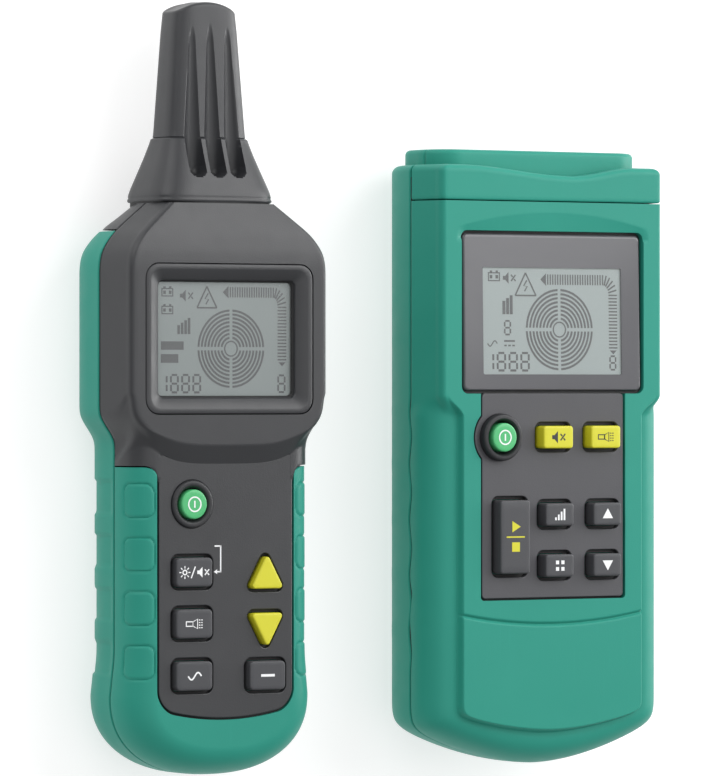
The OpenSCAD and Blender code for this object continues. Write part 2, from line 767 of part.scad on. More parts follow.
// Space inside the grip that the pads must leave free
module rx_pad_room() {
    rings = [for (y = [rx_end_y - over, rx_chin_y + over]) [for (p = arch(
        rx_grip_w / 2 - wall / 2, rx_panel_z - wall / 2 - rx_seam_z, rx_grip_corner_w - wall / 2,
        rx_front_corner_h - wall / 2)) [p[0], y, rx_seam_z + p[1]]]];
    ring_loft(rings);
}

module rx_sensor_nose() {
    rings = [for (s = rx_nose_stations)
        let (h = (s[3] - s[2]) / 2 * rx_nose_corner_share, w = s[1] * rx_nose_corner_share)
        full_ring(s, (s[2] + s[3]) / 2, w, h, w, h)];
    groove_r = groove_w / 2;
    groove_y = rx_collar_y + (rx_nose_y - rx_collar_y) / 2;
    groove_z = rx_nose_front_z + groove_r / 4;
    groove_tilt = -atan((groove_r / 3) / (rx_length - rx_nose_y));
    color(charcoal) in_rx() difference() {
        ring_loft(rings);
        rod_y(0, rx_collar_y - over, winding_y1 + fit, rx_rod_z, rod_r + winding_t + fit);
        rod_y(0, rx_collar_y - over, rod_y1 + fit, rx_rod_z, rod_r + fit);
        rod_y(0, rx_length - lens_t - fit, rx_length + over, rx_rod_z, lens_r + fit);
        for (i = [-1, 0, 1]) {
            translate([i * groove_pitch, groove_y, groove_z]) rotate([-90 - groove_tilt, 0, 0])
                rotate_extrude() polygon([
                    [0, -groove_r], [groove_r * groove_nose_share, -groove_r * groove_nose_share],
                    [groove_r, 0], [groove_r, rx_length - groove_y], [0, rx_length - groove_y]
                ]);
        }
    }
}

module rx_antenna_core() {
    color("dimgray") in_rx() rod_y(0, rod_y0, rod_y1, rx_rod_z, rod_r);
}

module rx_antenna_winding() {
    color("peru") in_rx() difference() {
        rod_y(0, winding_y0, winding_y1, rx_rod_z, rod_r + winding_t);
        rod_y(0, winding_y0 - over, winding_y1 + over, rx_rod_z, rod_r);
    }
}

module rx_torch_lens() {
    color("white") in_rx() rod_y(0, rx_length - lens_t, rx_length, rx_rod_z, lens_r);
}

// Thickness of the display windows, and depth of the bezel's face below the head
window_t = 1.5;
rx_window_z = rx_panel_z - wall / 2;

module rx_display_bezel() {
    color(dark) in_rx() translate([0, rx_display_y, 0]) difference() {
        prism(rx_window_z - window_t, rx_thick) round_rect(rx_bezel_w, rx_bezel_l, bezel_corner);
        prism(rx_window_z - window_t - over, rx_thick + over) square([rx_view_w, rx_view_l], center = true);
        prism(rx_window_z - window_t - over, rx_window_z)
            square([rx_view_w + 2 * window_t + 2 * fit, rx_view_l + 2 * window_t + 2 * fit], center = true);
    }
}

module rx_display_window() {
    color("lightgray") in_rx() translate([0, rx_display_y, 0]) prism(rx_window_z - window_t, rx_window_z)
        square([rx_view_w + 2 * window_t, rx_view_l + 2 * window_t], center = true);
}

module rx_lcd_panel() {
    color("#8c9b96") in_rx() translate([0, rx_display_y, 0])
        prism(rx_board_z + board_t, rx_window_z - window_t)
        square([rx_view_w + 2 * rx_lcd_margin, rx_view_l + 2 * rx_lcd_margin], center = true);
}

module rx_power_ring() {
    color(dark) in_rx() translate([rx_left_x, rx_power_y, 0]) power_ring(rx_panel_z, rx_key_rise / 2);
}

module rx_power_button() {
    color("#4caf73") in_rx() translate([rx_left_x, rx_power_y, 0]) power_button(rx_panel_z, rx_key_rise);
}

module rx_light_mute_button() {
    color(dark) rx_key(rx_left_x, rx_light_y, rx_key_w, rx_key_l);
}

module rx_torch_button() {
    color(dark) rx_key(rx_left_x, rx_torch_y, rx_key_w, rx_key_l);
}

module rx_voltage_button() {
    color(dark) rx_key(rx_left_x, rx_voltage_y, rx_key_w, rx_key_l);
}

module rx_manual_button() {
    color(dark) rx_key(rx_right_x, rx_manual_y, rx_key_w, rx_key_l);
}

module rx_level_up_button() {
    color(yellow) level_key(rx_up_y, 1);
}

module rx_level_down_button() {
    color(yellow) level_key(rx_down_y, -1);
}

module rx_keypad_mat() {
    color("gray") in_rx() translate([-rx_board_half, rx_board_y0, rx_mat_z])
        cube([2 * rx_board_half, rx_mat_y1 - rx_board_y0, mat_t]);
}

module rx_circuit_board() {
    color("darkgreen") in_rx() difference() {
        prism(rx_board_z, rx_board_z + board_t) {
            translate([-rx_board_half, rx_board_y0]) square([2 * rx_board_half, rx_board_y1 - rx_board_y0]);
            translate([-rx_board_head_w / 2, rx_head_y]) square([rx_board_head_w, rx_board_y1 - rx_head_y]);
        }
        for (s = [-1, 1]) {
            translate([s * rx_screw_grip_x, rx_waist_y, rx_board_z - over])
                cylinder(r = screw_r + fit, h = board_t + 2 * over);
        }
    }
}

module rx_buzzer() {
    color("black") in_rx() translate([0, rx_display_y, rx_board_z - buzzer_t]) difference() {
        cylinder(r = buzzer_r, h = buzzer_t);
        translate([0, 0, -over]) cylinder(r = buzzer_r / 4, h = buzzer_t / 2 + over);
    }
}

// Cells lie side by side across the grip, nubs to alternate sides
module rx_batteries() {
    color("orange") in_rx() for (i = [0:cell_count - 1]) {
        way = i % 2 == 0 ? 1 : -1;
        y = rx_bay_y0 + cell_gap + cell_pitch * i + cell_d / 2;
        translate([-way * cell_l / 2, y, rx_cell_z]) rotate([0, way * 90, 0]) {
            cylinder(d = cell_d, h = cell_l - nub_l);
            cylinder(r = nub_r, h = cell_l);
        }
    }
}

// Contact strips at both ends of the cells, each joining a pair
module rx_battery_contacts() {
    pair = 2 * cell_pitch;
    strip = pair - 2 * cell_gap;
    color("silver") in_rx() for (s = [-1, 1], i = [0:cell_count / 2 - 1]) {
        x = s * (cell_l / 2 + contact_t / 2);
        y = rx_bay_y0 + cell_gap + pair * i + cell_pitch;
        translate([x, y, rx_cell_z]) cube([contact_t, strip, cell_d / 2], center = true);
    }
}

// Captive screw of a battery door, and the room for it in the door
door_screw_z = wall / 4;
door_head_t = wall / 2;
module door_screw(y) {
    translate([0, y, door_screw_z]) {
        cylinder(r = screw_head_r, h = door_head_t);
        cylinder(r = screw_r, h = door_screw_l);
    }
}

module door_screw_room(y) {
    translate([0, y, -over]) cylinder(r = screw_head_r + fit, h = door_screw_z + door_head_t + over);
    translate([0, y, -over]) cylinder(r = screw_r + fit, h = 2 * wall + over);
}

module rx_battery_door() {
    color(green) in_rx() difference() {
        intersection() {
            rx_back_loft();
            prism(-over, rx_seam_z / 2) rx_door_outline(run);
        }
        door_screw_room(rx_door_screw_y);
    }
}

module rx_door_screw() {
    color("silver") in_rx() door_screw(rx_door_screw_y);
}

module rx_case_screws() {
    color("silver") in_rx() for (s = rx_screws) {
        translate([s[0], s[1], screw_z]) screw(rx_screw_l);
    }
}

// Outline of the pod that carries the display and the keys
module tx_pod_outline() {
    low = tx_pod_low_w / 2;
    polygon(concat(
        [for (i = [0:arc_steps]) let (u = 2 * i / arc_steps - 1) [u * low, tx_pod_y0 + tx_pod_sag * u * u]],
        [
            [low, tx_pod_step_y], [tx_head_half, tx_pod_wide_y],
            [-tx_head_half, tx_pod_wide_y], [-low, tx_pod_step_y]
        ]
    ));
}

// Keypad panel outline with its bulge round the power ring
module tx_panel_outline(grow) {
    translate([0, (tx_panel_y + tx_panel_y1) / 2])
        round_rect(tx_panel_w + 2 * grow, tx_panel_y1 - tx_panel_y + 2 * grow, tx_panel_corner + grow);
    translate([tx_power_x, tx_top_row_y]) circle(tx_bulge_r + grow);
}

module tx_key_holes() {
    translate([tx_power_x, tx_top_row_y]) circle(ring_sleeve_r + fit);
    for (x = [tx_mute_x, tx_torch_x]) {
        translate([x, tx_top_row_y]) key_outline(tx_lamp_key_w, tx_key_l, run);
    }
    translate([tx_start_x, tx_start_y]) key_outline(tx_start_w, tx_start_l, run);
    for (x = [tx_mid_x, tx_arrow_x], y = [tx_upper_row_y, tx_lower_row_y]) {
        translate([x, y]) key_outline(tx_key_w, tx_key_l, run);
    }
}

module tx_door_outline(gap) {
    translate([-tx_bay_half + gap, tx_bay_y0 + gap]) square([2 * (tx_bay_half - gap), tx_bay_l - 2 * gap]);
    translate([-tab_w / 2 + gap, tx_bay_y0 - tab_l + gap]) square([tab_w - 2 * gap, tab_l + 2 * gap]);
}

tx_post_x = 20;

module tx_back_shell() {
    color(green) in_tx() difference() {
        union() {
            tx_back_loft();
            intersection() {
                tx_top_end();
                tx_end_space(-over, tx_seam_z);
            }
            tray(tx_bay_half, tx_bay_y0, tx_bay_l, tx_bay_top, tx_door_screw_y);
            back_bosses(tx_screws);
            for (s = [-1, 1]) {
                board_post(s * tx_post_x, tx_pod_wide_y, wall / 2, tx_board_z);
            }
            board_post(0, tx_bay_y0 + tx_bay_l / 2, tx_bay_top, tx_board_z);
        }
        tray_room(tx_bay_half, tx_bay_y0, tx_bay_l, tx_bay_top, tx_door_screw_y);
        prism(-over, 2 * wall) tx_door_outline(0);
        back_screw_holes(tx_screws);
    }
}

// Groove that sets off the lower plate of the pod
module tx_plate_groove() {
    low = tx_pod_low_w / 2;
    edge = [for (i = [0:arc_steps]) let (u = 2 * i / arc_steps - 1)
        [u * (low + over), tx_plate_groove_y + tx_pod_sag / 2 * u * u]];
    polygon(concat(edge, [for (i = [arc_steps:-1:0]) edge[i] + [0, tx_groove_w]]));
}

module tx_front_shell() {
    color(green) in_tx() difference() {
        union() {
            difference() {
                union() {
                    tx_front_loft();
                    prism(tx_base_z - wall / 2, tx_face_z) tx_pod_outline();
                }
                prism(tx_base_z - 2 * wall, tx_face_z - wall - fit)
                    translate([-tx_pocket_half, tx_panel_y - wall])
                    square([2 * tx_pocket_half, tx_pod_wide_y - tx_panel_y + 2 * wall]);
                prism(tx_face_z - tx_groove_w, tx_face_z + over) tx_plate_groove();
            }
            front_bosses(tx_low_screws, tx_base_z - wall / 4);
            front_bosses(tx_high_screws, tx_face_z - wall / 4);
        }
        prism(tx_base_z - 2 * wall, tx_face_z + over) {
            translate([0, tx_window_y])
                round_rect(tx_window_w + 2 * fit, tx_window_l + 2 * fit, tx_window_corner + fit);
            tx_panel_outline(fit);
        }
        front_screw_holes(tx_screws, screw_z + tx_screw_l);
    }
}

// Upright outline carried along Y between two places
module slab_y(y0, y1, z) {
    translate([0, y0, z]) rotate([-90, 0, 0]) linear_extrude(y1 - y0) children();
}

tx_socket_z = tx_boss_z + tx_boss_t / 2;
tx_boss_y = tx_length + tx_boss_rise;
socket_lip = 0.8;
socket_floor = 1.5;

// Hollow top end of the transmitter with the hole for its terminal block
module tx_top_end() {
    rings = [for (s = tx_cap_stations) full_ring(
        s, tx_seam_z, tx_head_corner_w, tx_front_corner_h, tx_back_corner_w, tx_back_corner_h)];
    room = [for (y = [tx_cap_y - over, tx_cap_roof_y]) full_ring(
        [y, tx_w / 2 - wall, wall, tx_face_z - wall], tx_seam_z, tx_head_corner_w - wall,
        tx_front_corner_h - wall, tx_back_corner_w - wall, tx_back_corner_h - wall)];
    difference() {
        ring_loft(rings);
        ring_loft(room);
        slab_y(tx_cap_y, tx_length + over, tx_socket_z)
            round_rect(tx_boss_w + 2 * fit, tx_boss_t + 2 * fit, tx_boss_corner + fit);
    }
}

// Space behind or in front of the parting plane at the top end
module tx_end_space(z0, z1) {
    translate([-tx_w, tx_cap_y, z0]) cube([2 * tx_w, tx_cap_l + over, z1 - z0]);
}

// The cap is the front of the top end, with a wave in its edge
module tx_top_cap() {
    color(green) in_tx() difference() {
        intersection() {
            tx_top_end();
            tx_end_space(tx_seam_z, tx_face_z + over);
        }
        prism(tx_seam_z - over, tx_face_z + over) polygon(concat(
            [[tx_wave_x + tx_wave_half, tx_length + over], [tx_wave_x - tx_wave_half, tx_length + over]],
            [for (i = [0:arc_steps]) let (u = 2 * i / arc_steps - 1, dip = (1 + cos(180 * u)) / 2)
                [tx_wave_x + u * tx_wave_half, tx_length - tx_wave * dip]]
        ));
    }
}

module tx_terminal_block() {
    color(green) in_tx() difference() {
        union() {
            slab_y(tx_cap_roof_y - wall, tx_boss_y, tx_socket_z)
                round_rect(tx_boss_w, tx_boss_t, tx_boss_corner);
            slab_y(tx_cap_roof_y - wall, tx_cap_roof_y, tx_socket_z) round_rect(
                tx_boss_w + 2 * tx_boss_flange, tx_boss_t + 2 * tx_boss_flange,
                tx_boss_corner + tx_boss_flange);
        }
        for (s = [-1, 1]) {
            rod_y(s * socket_pitch / 2, tx_cap_y, tx_boss_y + over, tx_socket_z, socket_d / 2 + fit);
        }
        rod_y(tx_lamp_x, tx_boss_y - lens_t - fit, tx_boss_y + over, tx_socket_z, lens_r + fit);
    }
}

module lead_socket(side) {
    top = tx_boss_y - socket_lip;
    color("gold") in_tx() difference() {
        rod_y(side * socket_pitch / 2, top - socket_depth - socket_floor, top, tx_socket_z, socket_d / 2);
        rod_y(side * socket_pitch / 2, top - socket_depth, top + over, tx_socket_z, socket_bore / 2);
    }
}

module tx_socket_line() {
    lead_socket(-1);
}

module tx_socket_earth() {
    lead_socket(1);
}

module tx_torch_lens() {
    color("white") in_tx() rod_y(tx_lamp_x, tx_boss_y - lens_t, tx_boss_y, tx_socket_z, lens_r);
}

module tx_display_window() {
    color("dimgray") in_tx() translate([0, tx_window_y, 0]) prism(tx_face_z - wall, tx_face_z)
        round_rect(tx_window_w, tx_window_l, tx_window_corner);
}

module tx_lcd_panel() {
    color("#bec6bc") in_tx() translate([0, tx_window_y, 0]) prism(tx_board_z + board_t, tx_face_z - wall)
        square([tx_view_w + 2 * rx_lcd_margin, tx_view_l + 2 * rx_lcd_margin], center = true);
}

module tx_keypad_panel() {
    color(charcoal) in_tx() prism(tx_face_z - wall, tx_face_z) difference() {
        tx_panel_outline(0);
        tx_key_holes();
    }
}

module tx_power_ring() {
    color(dark) in_tx() translate([tx_power_x, tx_top_row_y, 0]) power_ring(tx_face_z, tx_key_rise * 3 / 4);
}

module tx_power_button() {
    color("#4caf73") in_tx() translate([tx_power_x, tx_top_row_y, 0]) power_button(tx_face_z, tx_key_rise);
}

module tx_mute_button() {
    color(yellow) tx_key(tx_mute_x, tx_top_row_y, tx_lamp_key_w, tx_key_l);
}

module tx_torch_button() {
    color(yellow) tx_key(tx_torch_x, tx_top_row_y, tx_lamp_key_w, tx_key_l);
}

module tx_start_stop_button() {
    color(dark) tx_key(tx_start_x, tx_start_y, tx_start_w, tx_start_l);
}

module tx_level_button() {
    color(dark) tx_key(tx_mid_x, tx_upper_row_y, tx_key_w, tx_key_l);
}

module tx_code_button() {
    color(dark) tx_key(tx_mid_x, tx_lower_row_y, tx_key_w, tx_key_l);
}

module tx_up_button() {
    color(dark) tx_key(tx_arrow_x, tx_upper_row_y, tx_key_w, tx_key_l);
}

module tx_down_button() {
    color(dark) tx_key(tx_arrow_x, tx_lower_row_y, tx_key_w, tx_key_l);
}

module tx_keypad_mat() {
    half = tx_panel_w / 2;
    top = tx_top_row_y + power_ring_d / 2;
    color("gray") in_tx() translate([-half, tx_panel_y, tx_mat_z]) cube([2 * half, top - tx_panel_y, mat_t]);
}

module tx_circuit_board() {
    color("darkgreen") in_tx() translate([-tx_board_w / 2, tx_board_y0, tx_board_z])
        cube([tx_board_w, tx_board_y1 - tx_board_y0, board_t]);
}

module tx_buzzer() {
    color("black") in_tx() translate([0, tx_window_y, tx_board_z - buzzer_t]) difference() {
        cylinder(r = buzzer_r, h = buzzer_t);
        translate([0, 0, -over]) cylinder(r = buzzer_r / 4, h = buzzer_t / 2 + over);
    }
}

module tx_battery() {
    y0 = tx_bay_y0 + cell_gap;
    z0 = wall + cell_gap;
    color("orange") in_tx() {
        translate([-block_w / 2, y0, z0]) cube([block_w, block_l, block_t]);
        for (s = [-1, 1]) {
            rod_y(s * snap_stud_pitch / 2, y0 + block_l, y0 + block_l + snap_stud_l, z0 + block_t / 2,
                snap_stud_r);
        }
    }
}

module tx_battery_snap() {
    y0 = tx_bay_y0 + cell_gap + block_l + snap_stud_l;
    color("black") in_tx() translate([-block_w / 2, y0, wall + cell_gap]) cube([block_w, snap_t, block_t]);
}

module tx_battery_door() {
    color(green) in_tx() difference() {
        intersection() {
            tx_back_loft();
            prism(-over, tx_seam_z / 2) tx_door_outline(run);
        }
        door_screw_room(tx_door_screw_y);
    }
}

module tx_door_screw() {
    color("silver") in_tx() door_screw(tx_door_screw_y);
}

module tx_case_screws() {
    color("silver") in_tx() for (s = tx_screws) {
        translate([s[0], s[1], screw_z]) screw(tx_screw_l);
    }
}

rx_back_shell();
rx_front_shell();
rx_grip_surround();
rx_sensor_nose();
rx_antenna_core();
rx_antenna_winding();
rx_torch_lens();
rx_display_bezel();
rx_display_window();
rx_lcd_panel();
rx_power_ring();
rx_power_button();
rx_light_mute_button();
rx_torch_button();
rx_voltage_button();
rx_manual_button();
rx_level_up_button();
rx_level_down_button();
rx_keypad_mat();
rx_circuit_board();
rx_buzzer();
rx_batteries();
rx_battery_contacts();
rx_battery_door();
rx_door_screw();
rx_case_screws();
tx_back_shell();
tx_front_shell();
tx_top_cap();
tx_terminal_block();
tx_socket_line();
tx_socket_earth();
tx_torch_lens();
tx_display_window();
tx_lcd_panel();
tx_keypad_panel();
tx_power_ring();
tx_power_button();
tx_mute_button();
tx_torch_button();
tx_start_stop_button();
tx_level_button();
tx_code_button();
tx_up_button();
tx_down_button();
tx_keypad_mat();
tx_circuit_board();
tx_buzzer();
tx_battery();
tx_battery_snap();
tx_battery_door();
tx_door_screw();
tx_case_screws();
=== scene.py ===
"""Looks of a cable locator set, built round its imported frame: a receiver with a sensing nose and a transmitter.

Places are worked out in millimetres from each unit's bottom middle (u across, y along, z up) and set into the
meshes in metres.
"""
import math

import bmesh
import bpy
import numpy as np
from mathutils import Matrix, Vector


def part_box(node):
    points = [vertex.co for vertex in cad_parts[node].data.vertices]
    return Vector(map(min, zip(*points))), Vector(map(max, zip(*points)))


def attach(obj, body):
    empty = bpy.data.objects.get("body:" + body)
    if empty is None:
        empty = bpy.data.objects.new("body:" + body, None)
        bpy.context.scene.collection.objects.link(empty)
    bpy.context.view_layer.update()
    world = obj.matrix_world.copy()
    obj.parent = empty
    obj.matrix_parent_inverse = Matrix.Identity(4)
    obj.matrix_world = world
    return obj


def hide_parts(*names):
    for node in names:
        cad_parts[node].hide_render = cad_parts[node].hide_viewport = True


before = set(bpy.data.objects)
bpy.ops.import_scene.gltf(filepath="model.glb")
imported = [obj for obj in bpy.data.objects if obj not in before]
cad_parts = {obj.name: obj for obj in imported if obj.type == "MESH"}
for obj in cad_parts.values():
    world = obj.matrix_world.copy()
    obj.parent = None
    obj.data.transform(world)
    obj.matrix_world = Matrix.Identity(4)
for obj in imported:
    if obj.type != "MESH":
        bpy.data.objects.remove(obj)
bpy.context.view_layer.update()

bl_info = {
    "name": "Cable locator set",
    "version": (1, 0, 0),
    "blender": (4, 5, 0),
    "location": "3D View > Sidebar > Locator",
    "description": "Dresses the frame of a cable locator set with its shells, keys, displays and finishes",
    "category": "Object",
}

MM = 0.001


def unit_place(node):
    """Bottom middle of a unit on the table, in metres, from the box of its back shell."""
    low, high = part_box(node)
    return np.array([(low.x + high.x) / 2, low.y, low.z])


def node_mm(node, at):
    """Lowest and highest corner of a node in millimetres of its unit."""
    low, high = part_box(node)
    return (np.array(low) - at) / MM, (np.array(high) - at) / MM


RX = unit_place("rx_back_shell")
TX = unit_place("tx_back_shell")
RX_BACK = node_mm("rx_back_shell", RX)
RX_LENGTH = node_mm("rx_sensor_nose", RX)[1][1]
RX_COLLAR_Y = RX_BACK[1][1]
RX_HALF = RX_BACK[1][0]
RX_SEAM = node_mm("rx_grip_surround", RX)[0][2]
RX_TOP = node_mm("rx_display_bezel", RX)[1][2]
TX_HALF = node_mm("tx_back_shell", TX)[1][0]
TX_FRONT = node_mm("tx_front_shell", TX)
TX_CAP_Y = TX_FRONT[1][1]
TX_SEAM = TX_FRONT[0][2]
TX_FACE = TX_FRONT[1][2]
TX_LENGTH = node_mm("tx_top_cap", TX)[1][1]

# Angles in degrees at which a crease is kept, and heights that clear a unit from below and from above
SHARP, BEVEL_SHARP = 38.0, 20.0
BELOW, UNDER_KEYS, RX_ABOVE, TX_ABOVE = -1.0, 30.0, 40.0, 46.0


def srgb(red, green, blue):
    """Screen colour from 0 to 255 as linear light."""
    c = np.array([red, green, blue]) / 255.0
    return tuple(np.where(c <= 0.04045, c / 12.92, ((c + 0.055) / 1.055) ** 2.4).tolist())


def colour_prop(name, description, screen):
    return bpy.props.FloatVectorProperty(
        name=name, description=description, subtype="COLOR", size=3, min=0.0, max=1.0, default=srgb(*screen))


def size_prop(name, description, default):
    return bpy.props.FloatProperty(
        name=name, description=description, unit="LENGTH", subtype="DISTANCE", default=default * MM)


class LocatorColours(bpy.types.PropertyGroup):
    """Colours of the mouldings, keys and prints."""
    green: colour_prop("Green", "Moulded shells and grip", (40, 140, 123))
    charcoal: colour_prop("Charcoal", "Receiver head, nose and keypad face", (45, 46, 49))
    panel: colour_prop("Panel grey", "Transmitter keypad panel", (70, 70, 74))
    window: colour_prop("Window grey", "Frame of the transmitter's display window", (80, 80, 84))
    key: colour_prop("Key grey", "Dark keys", (58, 59, 63))
    # Gap black is also painted shade: the dark strips, rings and sheets in seams, gaps and round the keys.
    gap: colour_prop("Gap black", "Gaskets and recesses", (14, 15, 17))
    yellow: colour_prop("Yellow", "Yellow keys", (204, 200, 38))
    glow: colour_prop("Power green", "Power buttons", (74, 178, 112))
    display: colour_prop("Display grey", "Liquid crystal displays", (112, 121, 120))
    ink: colour_prop("Display ink", "Marks on the displays", (40, 43, 46))
    white: colour_prop("White print", "Marks on dark keys", (236, 237, 238))


class LocatorSizes(bpy.types.PropertyGroup):
    """Sizes that the frame doesn't give."""
    door_t: size_prop("Door", "Thickness of the battery doors", 2.0)
    seam: size_prop("Seam", "Open line between two mouldings", 0.5)
    pad_rise: size_prop("Pad rise", "How far a finger pad stands out", 0.12)
    notch: size_prop("Notch", "Depth of the finger notches in the receiver's sides", 0.6)
    key_edge: size_prop("Key edge", "Rounding of a key's upper edge", 0.55)
    print_t: size_prop("Print", "How far a printed mark stands out", 0.05)


def sizes():
    return bpy.context.scene.locator_sizes


def colour(name):
    return tuple(getattr(bpy.context.scene.locator_colours, name))


def step(x):
    """Smooth step: 0 below 0, 1 above 1, cubic between."""
    x = np.clip(x, 0.0, 1.0)
    return x * x * (3.0 - 2.0 * x)


def round_box(x, y, half_x, half_y, radius):
    """Signed distance of points to a rounded rectangle about the origin, negative inside."""
    qx = np.abs(x) - half_x + radius
    qy = np.abs(y) - half_y + radius
    return np.hypot(np.maximum(qx, 0), np.maximum(qy, 0)) + np.minimum(np.maximum(qx, qy), 0) - radius


def eased(y, table_y, table_v, spread):
    """Straight lines between the table's points, averaged over a bell of that spread so that corners turn softly.

    The table runs on straight past both ends, so the ends keep their values.
    """
    ty, tv = np.array(table_y, float), np.array(table_v, float)
    offsets = np.linspace(-2.5, 2.5, 21) * spread
    weights = np.exp(-0.5 * (offsets / spread) ** 2)
    at = np.asarray(y)[..., None] + offsets
    values = np.interp(at, ty, tv)
    first = (tv[1] - tv[0]) / (ty[1] - ty[0])
    last = (tv[-1] - tv[-2]) / (ty[-1] - ty[-2])
    values = np.where(at < ty[0], tv[0] + first * (at - ty[0]), values)
    values = np.where(at > ty[-1], tv[-1] + last * (at - ty[-1]), values)
    return (values * weights).sum(-1) / weights.sum()


def grid_faces(rows, columns, close_rows=False, close_columns=False):
    """Quads of a rows by columns grid, wrapped in either direction where it closes on itself."""
    i = np.arange(rows if close_rows else rows - 1)[:, None]
    j = np.arange(columns if close_columns else columns - 1)[None, :]
    i2, j2 = (i + 1) % rows, (j + 1) % columns
    quads = np.broadcast_arrays(i * columns + j, i * columns + j2, i2 * columns + j2, i2 * columns + j)
    return np.stack(quads, -1).reshape(-1, 4)


def tube_faces(rows, columns):
    """Faces of a tube whose rows close on themselves, with one face over each end."""
    ring = np.arange(columns)
    return [grid_faces(rows, columns, close_columns=True), [ring[::-1]], [ring + (rows - 1) * columns]]


def add_object(name, points, faces, at, weld):
    """Puts points in millimetres of a unit and faces, turned outwards, into an object of the scene."""
    mesh = bpy.data.meshes.new(name)
    rows = [row for block in faces for row in np.asarray(block).tolist()]
    mesh.from_pydata((np.asarray(points).reshape(-1, 3) * MM + at).tolist(), [], rows)
    work = bmesh.new()
    work.from_mesh(mesh)
    if weld:
        bmesh.ops.remove_doubles(work, verts=work.verts, dist=1e-6)
        bmesh.ops.dissolve_degenerate(work, edges=work.edges, dist=1e-7)
    bmesh.ops.recalc_face_normals(work, faces=work.faces)
    work.to_mesh(mesh)
    work.free()
    made = bpy.data.objects.new(name, mesh)
    bpy.context.scene.collection.objects.link(made)
    return made


def add_piece(name, points, faces, look, body, slot, nodes, at, sharp=SHARP, weld=True, lean=None):
    """A piece of the set with its finish, its body and the frame nodes that it stands for; slot is not used."""
    piece = add_object(name, lean(points) if lean else points, faces, at, weld)
    piece.data.materials.append(finish(look))
    smooth(piece.data, sharp)
    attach(piece, body)
    if nodes:
        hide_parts(*nodes)
    return piece


def smooth(mesh, sharp):
    """Smooth shading with creases kept where faces turn by more than the angle."""
    mesh.shade_smooth()
    mesh.set_sharp_from_angle(angle=math.radians(sharp))


def settle(piece, sharp):
    """Applies a piece's modifiers to its mesh, and closes any opening of three or four edges that a cut leaves."""
    bpy.context.view_layer.update()
    graph = bpy.context.evaluated_depsgraph_get()
    made = bpy.data.meshes.new_from_object(piece.evaluated_get(graph), depsgraph=graph)
    old = piece.data
    piece.modifiers.clear()
    piece.data = made
    bpy.data.meshes.remove(old)
    made.name = piece.name
    work = bmesh.new()
    work.from_mesh(made)
    bmesh.ops.holes_fill(work, edges=[edge for edge in work.edges if edge.is_boundary], sides=4)
    work.to_mesh(made)
    work.free()
    smooth(made, sharp)


def prism_points(loop, z0, z1):
    """A closed loop carried from one height to another, with its two end faces."""
    n = len(loop)
    points = np.concatenate([np.c_[loop, np.full(n, z0)], np.c_[loop, np.full(n, z1)]])
    return points, tube_faces(2, n)


def joined(parts):
    """Several (points, faces) as one, the later faces counted on."""
    points, faces, count = [], [], 0
    for some_points, some_faces in parts:
        points.append(some_points)
        faces += [np.asarray(block) + count for block in some_faces]
        count += len(some_points)
    return np.concatenate(points), faces


def cut(piece, loops, z0, z1, at, way="DIFFERENCE", axes=(0, 1, 2)):
    """Takes prisms over the loops out of a piece, or keeps only what lies in them; axes turns the prisms."""
    points, faces = joined([prism_points(loop, z0, z1) for loop in loops])
    cutter = add_object("cutter", points[:, axes], faces, at, weld=False)
    mesh = cutter.data
    knife = piece.modifiers.new("Cut", "BOOLEAN")
    knife.operation = way
    knife.solver = "EXACT"
    knife.object = cutter
    settle(piece, SHARP)
    bpy.data.objects.remove(cutter)
    bpy.data.meshes.remove(mesh)


def bevelled(piece, width):
    """Small rounding on a piece's hard edges."""
    edge = piece.modifiers.new("Edge", "BEVEL")
    edge.width = width * MM
    edge.segments = 2
    edge.limit_method = "ANGLE"
    edge.angle_limit = math.radians(40.0)
    edge.harden_normals = False
    settle(piece, BEVEL_SHARP)


def corner_path(corners, radius, steps):
    """Convex polygon with rounded corners, counter-clockwise: (points, outward normals).

    Round each corner the path is the arc's centre plus the radius along a direction that turns from the normal of
    the side before to the normal of the side after.
    """
    corners = np.array(corners, float)
    before = corners - np.roll(corners, 1, 0)
    after = np.roll(corners, -1, 0) - corners
    angle_in = np.arctan2(-before[:, 0], before[:, 1])
    turn = (np.arctan2(-after[:, 0], after[:, 1]) - angle_in + math.pi) % (2 * math.pi) - math.pi
    bisector = angle_in + turn / 2
    radius = np.broadcast_to(radius, len(corners))
    centres = corners - (radius / np.cos(turn / 2))[:, None] * np.c_[np.cos(bisector), np.sin(bisector)]
    angles = angle_in[:, None] + turn[:, None] * np.linspace(0, 1, steps)
    normals = np.stack([np.cos(angles), np.sin(angles)], -1)
    return (centres[:, None] + radius[:, None, None] * normals).reshape(-1, 2), normals.reshape(-1, 2)


def box_path(width, length, radius, centre, steps=7):
    """Rounded rectangle about a centre."""
    w, l = width / 2, length / 2
    points, normals = corner_path([(w, -l), (w, l), (-w, l), (-w, -l)], radius, steps)
    return points + np.array(centre), normals


def circle_path(radius, centre):
    """Circle about a centre, in 48 steps."""
    angles = np.linspace(0, 2 * math.pi, 48, endpoint=False)
    normals = np.c_[np.cos(angles), np.sin(angles)]
    return normals * radius + np.array(centre), normals


def stacked(path, normals, rows):
    """A path carried up through rows of (grow, scale, z): moved out along its normals, then drawn to its middle.

    Both ends are closed by a face.
    """
    rows = np.array(rows, float)
    middle = path.mean(0)
    loops = middle + (path - middle + rows[:, 0, None, None] * normals) * rows[:, 1, None, None]
    points = np.concatenate([loops, np.broadcast_to(rows[:, 2, None, None], loops.shape[:2] + (1,))], -1)
    return points, tube_faces(len(rows), len(path))


